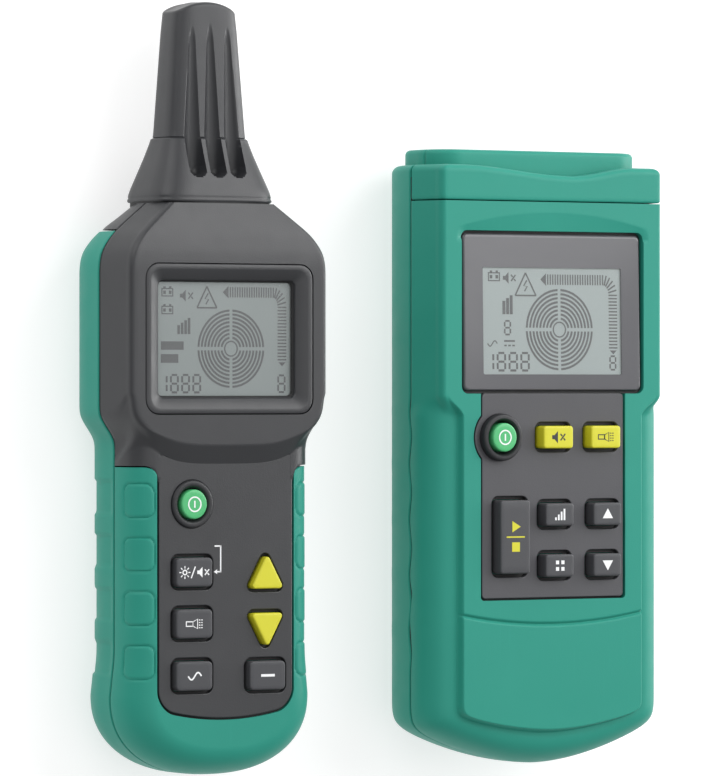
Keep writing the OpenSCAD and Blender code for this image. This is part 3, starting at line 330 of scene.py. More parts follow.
def cap_rows(z0, z1, edge):
    """Rows of a key: straight wall, quarter round edge, then a level top."""
    turn = np.linspace(0, math.pi / 2, 5)[1:]
    rounding = [(-edge * (1 - math.cos(a)), 1.0, z1 - edge * (1 - math.sin(a))) for a in turn]
    return [(0.0, 1.0, z0), (0.0, 1.0, z1 - edge)] + rounding + [(-edge, s, z1) for s in (0.8, 0.6, 0.4, 0.2, 0.03)]


def ring_between(outer, inner, rows):
    """Frame between two paths of as many points: rows of (share from outer to inner, z), closed on itself."""
    rows = np.array(rows, float)
    share = rows[:, 0, None, None]
    loops = outer * (1 - share) + inner * share
    points = np.concatenate([loops, np.broadcast_to(rows[:, 1, None, None], loops.shape[:2] + (1,))], -1)
    return points, [grid_faces(len(rows), len(outer), close_rows=True, close_columns=True)]


def turned(profile, centre):
    """A closed (radius, z) profile turned about an upright axis in 64 steps."""
    profile = np.array(profile, float)
    angles = np.linspace(0, 2 * math.pi, 64, endpoint=False)
    points = np.stack(np.broadcast_arrays(
        centre[0] + profile[:, None, 0] * np.cos(angles), centre[1] + profile[:, None, 0] * np.sin(angles),
        profile[:, None, 1]), -1)
    return points, [grid_faces(len(profile), len(angles), close_rows=True, close_columns=True)]


def bottom_rows(end, last, pitch, turn_steps=34):
    """Rows along a unit: crowded towards the rounded bottom end, then evenly spaced to the last."""
    turn = end * (1 - np.cos(np.linspace(0, math.pi / 2, turn_steps)))
    return np.concatenate([turn[:-1], np.linspace(end, last, int((last - end) / pitch) + 1)])


def round_end(share):
    """Share of the full width along a rounded end: (1 - (1 - s)^p)^(1/p), p = 2.3."""
    return (1 - np.clip(1 - share, 0, 1) ** 2.3) ** (1 / 2.3)


def blunt_end(share):
    """Share of the full width along a blunt end: a = (1.639 s)^(1/1.8) levels off as a / (1 + a^14)^(1/14)."""
    a = (1.639 * np.clip(share, 0, 1)) ** (1 / 1.8)
    return np.minimum(1.0017 * a / (1 + a ** 14) ** (1 / 14), 1)


def shell_skin(y, half, face_z, seam_z, corner_w, corner_h, bevel=0.0, end=None, flat=None, fine=14,
               over_h=2.2, rim=()):
    """Half of a unit's skin as a grid: seam, side, corner, flat face, corner, side, seam.

    Each row's side point is (half, y). The corner goes in by w(1 - cos a) and up by h sin a. Round the bottom end,
    of length, half width and shape end, it follows a smaller end of the same kind, so the rounding goes all the way
    round, end's last number as deep there as at the sides. Columns at the distances rim past the corner do the same.
    Where bevel is 1 the side leans in straight and turns over a small round instead. The face lies at face_z, above
    the seam or below it. The side's first points fall back a little, which leaves an open line at the seam.
    """
    y, half = np.asarray(y, float), np.asarray(half, float)
    face_z, seam_z = np.broadcast_to(face_z, y.shape), np.broadcast_to(seam_z, y.shape)
    way = np.sign(face_z - seam_z)
    rise = np.abs(face_z - seam_z)
    cw = np.broadcast_to(corner_w, y.shape)
    ch = np.minimum(corner_h, 0.92 * rise)
    lip = np.array([0.0, 0.12, 0.3, 0.6])
    side = np.concatenate([np.broadcast_to(lip, (len(y), 4)), np.linspace(0.15, 1, 5) * (rise - ch)[:, None]], 1)
    side = np.sort(side, 1)
    angle = np.linspace(0, math.pi / 2, fine)[1:]
    inset = np.concatenate([np.zeros_like(side), cw[:, None] * (1 - np.cos(angle))], 1)
    height = np.concatenate([side, (rise - ch)[:, None] + ch[:, None] * np.sin(angle)], 1)
    k = height.shape[1]
    lean = np.linspace(0, 1, k - 6)
    over = np.linspace(0, math.pi / 2, 7)[1:]
    inset_b = cw[:, None] * np.concatenate([0.62 * lean, 0.62 + 0.38 * (1 - np.cos(over))])
    height_b = np.concatenate([lean * (rise - over_h)[:, None], rise[:, None] - over_h * (1 - np.sin(over))], 1)
    bevel = np.broadcast_to(bevel, y.shape)[:, None]
    inset = inset * (1 - bevel) + inset_b * bevel
    height = height * (1 - bevel) + height_b * bevel
    inset = np.concatenate([inset, inset[:, -1:] + np.asarray(rim, float)], 1)
    height = np.concatenate([height, np.repeat(height[:, -1:], len(rim), 1)], 1)
    inset = inset + sizes().seam / MM * (1 - step(height / 0.6))
    z = seam_z[:, None] + way[:, None] * np.maximum(height, sizes().seam / MM / 2)
    u = half[:, None] - inset
    v = np.broadcast_to(y[:, None], u.shape)
    if end is not None:
        share = np.clip(y / end[0], 0, 1)[:, None]
        low = (y < end[0])[:, None]
        u = np.where(low, (end[1] - inset) * end[2](share), u)
        deep = inset * end[3]
        v = np.where(low, deep + (end[0] - deep) * share, v)
    right = np.stack([np.maximum(u, 0), v, z], -1)
    left = right * np.array([-1, 1, 1])
    shares = np.linspace(-1, 1, 41) if flat is None else np.asarray(flat)
    middle = np.stack(np.broadcast_arrays(shares[1:-1] * right[:, -1:, 0], right[:, -1:, 1], right[:, -1:, 2]), -1)
    return np.concatenate([left, middle, right[:, ::-1]], 1)


def grid_normals(points):
    """Normals of a grid from its two directions."""
    across, along = np.gradient(points, axis=1), np.gradient(points, axis=0)
    normals = np.cross(across, along)
    return normals / np.maximum(np.linalg.norm(normals, axis=-1, keepdims=True), 1e-9)


def row_reach(points):
    """Distance along each row from its own middle."""
    run = np.concatenate([np.zeros((len(points), 1)), np.linalg.norm(np.diff(points, axis=1), axis=-1).cumsum(1)], 1)
    return run - run[:, points.shape[1] // 2][:, None]


def skin_piece(name, points, look, body, slot, nodes, at):
    """A shell skin closed along its seam plane by strips from side to side, and at its ends by fans about a middle."""
    rows, n = points.shape[:2]
    i = np.arange(rows - 1)
    seam = np.stack([i * n, (i + 1) * n, (i + 1) * n + n - 1, i * n + n - 1], -1)
    j = np.arange(n)
    fan = np.stack([j, (j + 1) % n], -1)
    ends = [rows - 1, 0] if np.ptp(points[0, :, 0]) > 1.0 else [rows - 1]
    faces = [grid_faces(rows, n), seam]
    faces += [np.c_[fan + row * n, np.full(n, rows * n + k)] for k, row in enumerate(ends)]
    middles = [(points[row, 0] + points[row, n // 2]) / 2 * (0, 1, 1) for row in ends]
    points = np.concatenate([points.reshape(-1, 3), middles])
    return add_piece(name, points, faces, look, body, slot, nodes, at)


def seam_shade_strip(name, y, half, z, body, at):
    """Painted shade: a dark strip inside the line between two mouldings, so that the line reads as a shaded gap.

    Its four edges follow the outline up one side, round the end and down the other, 0.45 and 1.9 inside it.
    """
    edges = []
    for deep, up in ((0.45, -0.23), (0.45, 0.23), (1.9, 0.23), (1.9, -0.23)):
        side = np.c_[np.maximum(half - deep, 0), deep + y * (1 - deep / y[-1]), np.broadcast_to(z + up, y.shape)]
        edges.append(np.concatenate([side[::-1], side[1:] * (-1, 1, 1)]))
    points = np.stack(edges, 1)
    add_piece(name, points, tube_faces(*points.shape[:2]), "gap_plastic", body, "black_plastic", (), at)


def print_piece(name, shapes, z, look, body, slot, at, lean=None):
    """Flat printed shapes as thin closed prisms on a face at that height, leaned like the face if that is leaned."""
    rise = sizes().print_t / MM
    points, faces = joined([prism_points(np.asarray(s), z - rise, z + rise) for s in shapes])
    add_piece(name, points, faces, look, body, slot, (), at, weld=False, lean=lean)


def bar(x, y, w, l):
    """Rectangle about a middle."""
    return np.array([(x - w / 2, y - l / 2), (x + w / 2, y - l / 2), (x + w / 2, y + l / 2), (x - w / 2, y + l / 2)])


def band(x, y, inner, outer, start, end, steps=24):
    """Part of a ring from one angle to another, in degrees."""
    a = np.radians(np.linspace(start, end, steps))
    arc = np.c_[np.cos(a), np.sin(a)]
    return np.concatenate([arc * outer, arc[::-1] * inner]) + np.array([x, y])


def line(points, width):
    """Open line of a width: its points moved to both sides along the mean normal of their neighbours."""
    p = np.array(points, float)
    run = np.gradient(p, axis=0)
    run /= np.linalg.norm(run, axis=1, keepdims=True)
    off = np.c_[-run[:, 1], run[:, 0]] * width / 2
    return np.concatenate([p - off, (p + off)[::-1]])


def placed(shapes, x, y, scale=1.0):
    """Shapes scaled and moved to a place."""
    return [np.asarray(s) * scale + np.array([x, y]) for s in shapes]


# Finishes: name, colour (one of the colour properties, or linear light) and looks

FINISHES = {
    "green_plastic": ("Green moulded plastic", "green", dict(rough=(0.4, 0.54), specular=0.25)),
    "charcoal_plastic": ("Charcoal moulded plastic", "charcoal", dict(rough=(0.34, 0.46), bump=0.16, specular=0.55)),
    "panel_plastic": ("Panel grey plastic", "panel", dict(rough=(0.38, 0.52), bump=0.16)),
    "window_plastic": ("Window frame print", "window", dict(rough=(0.2, 0.28), bump=0.0, marks=0.1, coat=0.25)),
    # Black for real gaskets and seals, and painted shade for the strips, rings and sheets in seams and gaps.
    "gap_plastic": ("Black gasket", "gap", dict(rough=(0.5, 0.65), bump=0.1)),
    "dish_plastic": ("Dish plastic", "key", dict(light=0.5, rough=(0.4, 0.52), bump=0.1, specular=0.4)),
    "dark_rubber": ("Dark key rubber", "key", dict(rough=(0.42, 0.56), grain=3400.0, bump=0.18, sheen=0.1)),
    "yellow_rubber": ("Yellow key rubber", "yellow", dict(rough=(0.36, 0.5), grain=3400.0, bump=0.14, contrast=0.04)),
    "power_rubber": ("Power key rubber", "glow", dict(rough=(0.28, 0.4), grain=3400.0, bump=0.1, coat=0.2)),
    "display_glass": ("Display layer", "display", dict(rough=(0.3, 0.42), bump=0.0, contrast=0.03, marks=0.0)),
    # Painted light: a brighter copy of the display colour for the transmitter's flush display, which sits in more light
    # than the receiver's recessed one.
    "bright_display": ("Bright display layer", "display",
                       dict(light=1.48, rough=(0.3, 0.42), bump=0.0, contrast=0.03, marks=0.0)),
    "display_ink": ("Display ink", "ink", dict(rough=(0.4, 0.5), bump=0.02, contrast=0.05, marks=0.1)),
    "white_ink": ("White print", "white", dict(rough=(0.4, 0.55), bump=0.05, contrast=0.02, marks=0.2)),
    "yellow_ink": ("Yellow print", "yellow", dict(rough=(0.4, 0.55), bump=0.05, contrast=0.02, marks=0.2)),
    "clear_pane": ("Clear pane", (0.9, 0.93, 0.93),
                   dict(rough=(0.16, 0.2), bump=0.0, contrast=0.01, marks=0.0, alpha=0.05)),
    "steel": ("Bright steel", srgb(188, 190, 192), dict(rough=(0.2, 0.34), bump=0.06, metal=1.0)),
    "brass": ("Plated brass", srgb(206, 176, 110), dict(rough=(0.18, 0.32), bump=0.05, metal=1.0)),
    "lens_plastic": ("Clear lens", srgb(226, 230, 232), dict(rough=(0.05, 0.1), bump=0.02, marks=0.1, coat=0.6)),
    "board": ("Board lacquer", srgb(38, 96, 62), dict(rough=(0.3, 0.45))),
    "ferrite": ("Ferrite", srgb(58, 58, 60), dict(rough=(0.5, 0.7), bump=0.3)),
    "copper": ("Enamelled copper", srgb(176, 102, 56), dict(rough=(0.25, 0.4), metal=1.0)),
    "cell": ("Cell sleeve", srgb(206, 170, 60), dict(rough=(0.25, 0.4), coat=0.3)),
    "mat": ("Keypad mat rubber", srgb(60, 62, 64), dict(rough=(0.5, 0.65))),
    "floor": ("Pale floor", (0.5, 0.5, 0.5),
              dict(rough=(0.6, 0.7), grain=900.0, bump=0.02, contrast=0.005, marks=0.0, specular=0.2)),
}


def finish(key):
    """Material of a finish, made the first time that it is asked for."""
    name, shade, looks = FINISHES[key]
    made = bpy.data.materials.get(name)
    return made or finish_of(name, colour(shade) if isinstance(shade, str) else shade, **looks)


def set_inputs(node, values):
    for key, value in values.items():
        node.inputs[key].default_value = value


def add_node(tree, kind, values=None, **settings):
    """New shader node with its settings and the values of its inputs."""
    node = tree.nodes.new("ShaderNode" + kind)
    for name, value in settings.items():
        setattr(node, name, value)
    set_inputs(node, values or {})
    return node


def wire(tree, *links):
    """Links of (node, output, node, input)."""
    for start, output, end, entry in links:
        tree.links.new(start.outputs[output], end.inputs[entry])


def node_group(name, inputs, outputs):
    """New group with a vector and float inputs, and float outputs: (group, its input node, its output node)."""
    group = bpy.data.node_groups.new(name, "ShaderNodeTree")
    group.interface.new_socket(name="Vector", in_out="INPUT", socket_type="NodeSocketVector")
    for label, default in inputs.items():
        socket = group.interface.new_socket(name=label, in_out="INPUT", socket_type="NodeSocketFloat")
        socket.default_value = default
    for label in outputs:
        group.interface.new_socket(name=label, in_out="OUTPUT", socket_type="NodeSocketFloat")
    return group, group.nodes.new("NodeGroupInput"), group.nodes.new("NodeGroupOutput")


def grain_group():
    """Moulded surface: broad tone, fine spark texture, and the mean of a broad and a middling noise for gloss."""
    made = bpy.data.node_groups.get("Moulded grain")
    if made:
        return made
    group, inp, out = node_group("Moulded grain", {"Grain scale": 2600.0}, ["Tone", "Height", "Gloss"])
    broad = add_node(group, "TexNoise", {"Scale": 18.0, "Detail": 3.0})
    middling = add_node(group, "TexNoise", {"Scale": 160.0, "Detail": 4.0})
    fine = add_node(group, "TexNoise", {"Detail": 2.0})
    half = add_node(group, "Math", {1: 0.5}, operation="MULTIPLY")
    mean = add_node(group, "Math", {1: 0.5}, operation="MULTIPLY_ADD")
    wire(group, *[(inp, "Vector", noise, "Vector") for noise in (broad, middling, fine)],
         (inp, "Grain scale", fine, "Scale"), (broad, "Fac", half, 0), (middling, "Fac", mean, 0), (half, 0, mean, 2),
         (broad, "Fac", out, "Tone"), (fine, "Fac", out, "Height"), (mean, 0, out, "Gloss"))
    return group


def handling_group():
    """Light handling: sparse patches and thin rub lines where fingers and a bench touch."""
    made = bpy.data.node_groups.get("Handling marks")
    if made:
        return made
    group, inp, out = node_group("Handling marks", {"Amount": 0.5}, ["Mask"])
    patch = add_node(group, "TexNoise", {"Scale": 42.0, "Detail": 5.0})
    stretch = add_node(group, "Mapping", {"Scale": (900.0, 60.0, 300.0)})
    rub = add_node(group, "TexNoise", {"Scale": 1.0, "Detail": 3.0})
    near = add_node(group, "MapRange", {"From Min": 0.5, "From Max": 0.75})
    thin = add_node(group, "MapRange", {"From Min": 0.6, "From Max": 0.8})
    both = add_node(group, "Math", operation="MAXIMUM")
    much = add_node(group, "Math", operation="MULTIPLY")
    wire(group, (inp, "Vector", patch, "Vector"), (inp, "Vector", stretch, "Vector"),
         (stretch, "Vector", rub, "Vector"), (patch, "Fac", near, "Value"), (rub, "Fac", thin, "Value"),
         (near, "Result", both, 0), (thin, "Result", both, 1), (both, 0, much, 0), (inp, "Amount", much, 1),
         (much, 0, out, "Mask"))
    return group


def finish_of(name, shade, rough, light=1.0, grain=2600.0, bump=0.12, contrast=0.06, marks=0.35, metal=0.0,
              specular=0.5, coat=0.0, alpha=1.0, sheen=0.0):
    """A moulded, rubber, metal or glass finish: toned colour, uneven gloss and fine bump on object places."""
    made = bpy.data.materials.new(name)
    made.use_nodes = True
    tree = made.node_tree
    bsdf = tree.nodes["Principled BSDF"]
    shade = np.array(shade) * light
    dark, pale, rubbed = ((*np.clip(c, 0, 1), 1) for c in (
        shade * (1 - contrast), shade * (1 + contrast), shade * 1.08 + 0.004))
    place = add_node(tree, "TexCoord")
    grains = add_node(tree, "Group", {"Grain scale": grain}, node_tree=grain_group())
    hands = add_node(tree, "Group", {"Amount": marks}, node_tree=handling_group())
    tone = add_node(tree, "Mix", {"A": dark, "B": pale}, data_type="RGBA")
    worn = add_node(tree, "Mix", {"B": rubbed}, data_type="RGBA")
    gloss = add_node(tree, "MapRange", {"From Min": 0.3, "From Max": 0.7, "To Min": rough[0], "To Max": rough[1]})
    touched = add_node(tree, "Math", {1: 0.08}, operation="MULTIPLY_ADD")
    relief = add_node(tree, "Bump", {"Strength": bump, "Distance": 0.0002})
    wire(tree, (place, "Object", grains, "Vector"), (place, "Object", hands, "Vector"),
         (grains, "Tone", tone, "Factor"), (tone, "Result", worn, "A"), (hands, "Mask", worn, "Factor"),
         (worn, "Result", bsdf, "Base Color"), (grains, "Gloss", gloss, "Value"), (hands, "Mask", touched, 0),
         (gloss, "Result", touched, 2), (touched, 0, bsdf, "Roughness"), (grains, "Height", relief, "Height"),
         (relief, "Normal", bsdf, "Normal"))
    set_inputs(bsdf, {"Metallic": metal, "Specular IOR Level": specular, "Coat Weight": coat, "Coat Roughness": 0.08,
                      "Alpha": alpha, "Sheen Weight": sheen})
    return made


# Marks


def outline(x, y, w, l, t):
    """Rectangle drawn as four bars."""
    across = [bar(x, y + s * l / 2, w + t, t) for s in (-1, 1)]
    return across + [bar(x + s * w / 2, y, t, l - t) for s in (-1, 1)]


def speaker_mark():
    """Loudspeaker with a cross beside it, about 4 wide."""
    cone = [(-2.0, -0.5), (-1.3, -0.5), (-0.3, -1.5), (-0.3, 1.5), (-1.3, 0.5), (-2.0, 0.5)]
    return [cone, line([(0.5, -0.8), (1.9, 0.8)], 0.36), line([(0.5, 0.8), (1.0, 0.25)], 0.36),
            line([(1.4, -0.25), (1.9, -0.8)], 0.36)]


def torch_mark():
    """Torch drawn in lines with two columns of short rays, about 6 wide."""
    head = [(-0.6, -0.7), (1.0, -1.5), (1.0, 1.5), (-0.6, 0.7), (-0.6, -0.7)]
    rays = [bar(x, y, 0.5, 0.3) for x in (1.75, 2.6) for y in (-1.2, -0.4, 0.4, 1.2)]
    return outline(-1.9, 0, 2.4, 1.4, 0.32) + [line(head, 0.32)] + rays


def sun_mark():
    """Ring with eight rays."""
    a = np.arange(8) * math.pi / 4
    rays = [line([(1.0 * math.cos(t), 1.0 * math.sin(t)), (1.6 * math.cos(t), 1.6 * math.sin(t))], 0.26) for t in a]
    return [band(0, 0, 0.4, 0.72, 0, 180), band(0, 0, 0.4, 0.72, 180, 360)] + rays


def wave_mark():
    """One period of a sine, five wide."""
    x = np.linspace(-2.4, 2.4, 25)
    return [line(np.c_[x, 1.1 * np.sin(x / 2.4 * math.pi)], 0.5)]


def power_mark():
    """Ring with a short bar in it."""
    return [band(0, 0, 2.0, 2.45, a, a + 180) for a in (0, 180)] + [bar(0, 0, 0.5, 2.2)]


def bars_mark(count=4, pitch=0.85, least=0.25):
    """Bars that rise from a share of the height to all of it."""
    high = 2.8 * np.linspace(least, 1, count)
    return [bar((k - (count - 1) / 2) * pitch, high[k] / 2 - 1.4, 0.5, high[k]) for k in range(count)]


def digit_marks(text, w, h, t):
    """Digits of seven bars each; a 1 keeps only its two right bars."""
    made = []
    for k, mark in enumerate(text):
        x = (k - (len(text) - 1) / 2) * (w + 2.4 * t)
        made += [bar(x + w / 2, s * h / 4, t, h / 2 - 1.2 * t) for s in (-1, 1)]
        if mark == "8":
            made += [bar(x - w / 2, s * h / 4, t, h / 2 - 1.2 * t) for s in (-1, 1)]
            made += [bar(x, s * h / 2, w - 0.9 * t, t) for s in (-1, 0, 1)]
    return made


def target_mark(radius):
    """Eight rings in four quarters round a small circle."""
    hub = 2.3
    made = [band(0, 0, hub - 0.22, hub + 0.22, a, a + 180, 20) for a in (0, 180)]
    for r in np.linspace(hub + 1.15, radius - 0.3, 8):
        gap = math.degrees(math.asin(0.55 / r))
        made += [band(0, 0, r - 0.34, r + 0.34, a + gap, a + 90 - gap, 12) for a in (0, 90, 180, 270)]
    return made


def scale_mark(x0, x1, y, x, y0, y1, count):
    """Scale of thin bars that runs to the right, fans round a corner and runs down, with a point at each end."""
    made = [[(x0 - 2.8, y), (x0 - 0.7, y - 1.9), (x0 - 0.7, y + 1.9)]]
    made += [bar(k, y, 0.45, 3.2) for k in np.linspace(x0, x1, count)]
    hub = np.array([x1, y0])
    for a in np.radians(np.linspace(75, 15, 5)):
        way = np.array([math.cos(a), math.sin(a)])
        near, far = np.array([x - 1.6 - x1, y - 1.6 - y0]) * way, np.array([x + 1.6 - x1, y + 1.6 - y0]) * way
        made.append(line([hub + near, hub + far], 0.5))
    made += [bar(x, k, 3.2, 0.45) for k in np.linspace(y0, y1, int(abs(y1 - y0) / 0.95))]
    return made + [[(x, y1 - 2.0), (x + 1.3, y1 - 0.8), (x - 1.3, y1 - 0.8)]]


def alarm_mark(w, h):
    """Triangle with a flash in it."""
    corners = np.array([(-w / 2, -h / 2), (w / 2, -h / 2), (0, h / 2)])
    sides = [line([corners[k], corners[(k + 1) % 3]], 0.5) for k in range(3)]
    return sides + [line([(0.5, 1.2), (-0.7, -0.5), (0.6, -0.7), (-0.4, -2.2)], 0.45)]


def battery_mark():
    """Small battery with two terminals and two cells."""
    inside = [bar(s * 0.9, y, w, l) for y, w, l in ((1.35, 0.7, 0.5), (0, 0.8, 0.9)) for s in (-1, 1)]
    return outline(0, 0, 3.4, 2.0, 0.3) + inside


def shared_marks(shift, target, scale):
    """Marks that both displays carry: a loudspeaker, an alarm, a scale and a target."""
    return (placed(speaker_mark(), *shift["speaker"], 1.2) + placed(alarm_mark(*shift["alarm_size"]), *shift["alarm"])
            + placed(target_mark(target[2]), *target[:2]) + scale_mark(*scale))


# Keys of both units

# Width of the flange that a key's node has and its cap lacks, and how far the cap starts above the node's foot
FLANGE = 0.9
KEY_FOOT = 1.2
POWER_OPENING = 7.5
DISH_BORE = 4.95
NARROWER = 2.0
RX_KEYS = ("rx_light_mute_button", "rx_torch_button", "rx_voltage_button", "rx_manual_button",
           "rx_level_up_button", "rx_level_down_button", "rx_power_button")
TX_KEYS = ("tx_mute_button", "tx_torch_button", "tx_start_stop_button", "tx_level_button", "tx_code_button",
           "tx_up_button", "tx_down_button", "tx_power_button")

# Keys, corner radius and place
RX_KEYPAD = (RX_KEYS, 1.5, RX)
TX_KEYPAD = (TX_KEYS, 1.0, TX)

# Keys that point up or down, keys narrower than their nodes, and the inks of prints that aren't white
POINTED_KEYS = {"rx_level_up_button": 1, "rx_level_down_button": -1}
NARROW_KEYS = ("tx_mute_button", "tx_torch_button")
INKS = {"tx_mute_button": "display_ink", "tx_torch_button": "display_ink", "tx_start_stop_button": "yellow_ink"}


def light_mute_marks():
    """Sun and loudspeaker with a slash between them."""
    slash = line([(-1.3, -1.8), (0.2, 1.8)], 0.4)
    return placed(sun_mark(), -3.6, 0, 1.25) + [slash] + placed(speaker_mark(), 3.1, 0, 1.1)


def start_stop_marks():
    """Pointer over a square with a line between them."""
    return [[(-1.3, 1.5), (1.9, 3.3), (-1.3, 5.1)], bar(0, 0, 7.0, 0.45), bar(0.1, -3.2, 3.0, 3.0)]


KEY_PRINTS = {
    "rx_light_mute_button": light_mute_marks, "rx_torch_button": torch_mark, "rx_voltage_button": wave_mark,
    "rx_manual_button": lambda: [bar(0, 0, 5.0, 0.8)], "rx_power_button": power_mark, "tx_power_button": power_mark,
    "tx_mute_button": lambda: placed(speaker_mark(), 0, 0, 1.3), "tx_torch_button": torch_mark,
    "tx_start_stop_button": start_stop_marks, "tx_level_button": lambda: placed(bars_mark(), 0, 0, 1.3),
    "tx_code_button": lambda: [bar(x, y, 1.2, 1.2) for x in (-1.05, 1.05) for y in (-1.05, 1.05)],
    "tx_up_button": lambda: [[(-2.0, -1.4), (2.0, -1.4), (0, 1.8)]],
    "tx_down_button": lambda: [[(2.0, 1.4), (-2.0, 1.4), (0, -1.8)]],
}


def key_paths(grow, keys, corner, at):
    """Outline of each key of a unit, grown: (path, normals) by node."""
    made = {}
    for node in keys:
        low, high = node_mm(node, at)
        middle, size = (low + high) / 2, high - low - 2 * FLANGE
        size[0] -= NARROWER * (node in NARROW_KEYS)
        if "power" in node:
            made[node] = circle_path(POWER_OPENING if grow > 1 else size[0] / 2 + grow, middle[:2])
        elif node in POINTED_KEYS:
            way = POINTED_KEYS[node]
            w, l = size[0] / 2 + 0.1, size[1] / 2 + 0.2
            corners = np.array([(w, -way * l), (0, way * (l + 0.8)), (-w, -way * l)][::way])
            path, normals = corner_path(corners, 1.0, 9)
            made[node] = (path + grow * normals + middle[:2], normals)
        else:
            made[node] = box_path(size[0] + 2 * grow, size[1] + 2 * grow, corner + grow, middle[:2])
    return made


def key_loops(grow, keypad):
    """Openings for a unit's keys, that much wider than the keys all round."""
    return [path for path, _ in key_paths(grow, *keypad).values()]


def add_keys(keypad, drop):
    """Caps of a unit's keys, drop below the tops of their nodes, and the prints on them."""
    at = keypad[-1]
    for node, (path, normals) in key_paths(0.0, *keypad).items():
        low, high = node_mm(node, at)
        top = high[2] - drop
        if "power" in node:
            look = "power_rubber"
        elif node in POINTED_KEYS or node in NARROW_KEYS:
            look = "yellow_rubber"
        else:
            look = "dark_rubber"
        rows = cap_rows(low[2] + KEY_FOOT, top, sizes().key_edge / MM)
        add_piece(node + "_cap", *stacked(path, normals, rows), look, node, look, (node,), at)
        if node in KEY_PRINTS:
            marks = placed(KEY_PRINTS[node](), *((low + high) / 2)[:2])
            print_piece(node + "_print", marks, top, INKS.get(node, "white_ink"), node, look, at)


def add_dish(node, name, body, bottom, face, at):
    """Ring round a power button: outer wall, rounded rim, and a dish that falls towards the bore."""
    low, high = node_mm(node, at)
    outer, top = (high[0] - low[0]) / 2, high[2]
    turn = np.linspace(0, math.pi / 2, 5)
    rim = [(outer - 0.8 * (1 - math.cos(a)), top - 0.8 * (1 - math.sin(a))) for a in turn]
    start = outer - 1.4
    dip = [(start - (start - DISH_BORE - 0.1) * s, top - (top - face + 0.5) * s * s) for s in (0, .3, .6, .85, 1)]
    wall = [(DISH_BORE, bottom), (outer - 1.2, bottom), (outer - 1.2, face - 0.3), (outer, face - 0.1)]
    points, faces = turned(wall + rim + dip, ((low + high) / 2)[:2])
    add_piece(name, points, faces, "dish_plastic", body, "dark_plastic", (node,), at)


# Backs of both units

SCREW_HOLE = 2.35
DOOR_SCREW_HOLE = 2.5
DOOR_SCREW_TOP = 9
DOOR_GAP = 0.3
TAB_HALF = 6.2


def door_loop(half, y0, y1, tab_half, tab_y):
    """Battery door with a screw tab at its lower end, as a closed loop with rounded outer corners."""
    main, _ = box_path(2 * half, y1 - y0, 1.5, (0, (y0 + y1) / 2))
    n = len(main) // 4
    tab, _ = box_path(2 * tab_half, 2 * (y0 - tab_y), 2.0, (0, y0))
    return np.concatenate([main[-n:], [(-tab_half, y0)], tab[-n:], tab[:n], [(tab_half, y0)], main[:3 * n]])


def add_back(unit, points, body, at, tab_top, bay_top, holes, hole_top):
    """A unit's back shell with its battery bay and screw holes, and the bay's door, cut from the same skin."""
    node, slot = unit + "_battery_door", "green_plastic"
    shell = skin_piece(unit + "_back_skin", points, "green_plastic", body, slot, (unit + "_back_shell",), at)
    door = skin_piece(unit + "_door_skin", points, "green_plastic", node, slot, (node,), at)
    low, high = node_mm(node, at)
    screw_low, screw_high = node_mm(unit + "_door_screw", at)
    half, y1, gap, thick = high[0], high[1], DOOR_GAP, sizes().door_t / MM
    seat = door_loop(half + gap, tab_top - gap, y1 + gap, TAB_HALF + gap, low[1] - gap)
    bay, _ = box_path(2 * half, y1 - tab_top, 0.8, (0, (tab_top + y1) / 2))
    cut(shell, [seat], BELOW, thick + gap, at)
    cut(shell, [bay], BELOW, bay_top, at)
    cut(shell, [circle_path(SCREW_HOLE, hole)[0] for hole in holes], BELOW, hole_top, at)
    cut(door, [door_loop(half, tab_top, y1, TAB_HALF, low[1])], BELOW, thick, at, "INTERSECT")
    cut(door, [circle_path(DOOR_SCREW_HOLE, ((screw_low + screw_high) / 2)[:2])[0]], BELOW, DOOR_SCREW_TOP, at)


# Receiver

PANEL_Z = 36.0
GRIP_HALF = 24.5
END_Y = 25.0
END_HALF = 35.0
# Bottom end: length, half width, shape, and depth of its rounding as a share of that at the sides
RX_END = (END_Y, END_HALF, round_end, 1.0)
RX_CORNER_H = 11.5
SPLIT_Y = 96.5
HEAD_Y = SPLIT_Y + 0.15
COLLAR_GAP = 0.2
NECK_Y = 169.7
PAD_YS = 35.8 + 16.7 * np.arange(4)


def rx_half(y):
    """Half width of the receiver along its length."""
    table = eased(y, [25, 37.5, 104.5, 112, 159, 163.3, 168.75, RX_COLLAR_Y],
                  [END_HALF, 33.5, 33.5, RX_HALF, RX_HALF, 38.15, 34.24, 22], 1.6)
    return np.where(y < END_Y, END_HALF * round_end(y / END_Y), np.minimum(table, RX_HALF))


def rx_front_z(y):
    """Height of the receiver's front face along its middle, without the chin."""
    head = eased(y, [90, 159, 163.3, 168.75, RX_COLLAR_Y], [RX_TOP, RX_TOP, RX_TOP - .24, RX_TOP - 1.12, 34.5], 1.4)
    return np.where(y < SPLIT_Y, PANEL_Z, head)


def rx_corner(y):
    """Width of the front corner along the receiver."""
    return np.interp(y, [0, 25, 37.5, 97, 104.5, 112, 180], [9, 10.5, 9, 9, 6.0, 4.6, 4.6])


# Middle of the chin's lower and upper edge along y, and how far each edge bows up towards the sides
CHIN_FOOT = (97.2, 8.0)
CHIN_CREST = (102.9, 7.0)


def chin_bend(points, y):
    """How far a row of the head is lifted towards the sides: a bow like u^4, so that rows run along the chin's edges.

    It fades from the front face to the seam, where the head keeps the outline of the back.
    """
    bow = np.minimum(np.abs(points[..., 0]) / 30.0, 1.12) ** 4
    rows = np.interp(y, [HEAD_Y, CHIN_FOOT[0], CHIN_CREST[0], 128], [0, CHIN_FOOT[1], CHIN_CREST[1], 0])
    tall = np.clip((points[..., 2] - RX_SEAM) / (PANEL_Z - RX_SEAM), 0, 1)
    return bow * rows[:, None] * tall ** 2


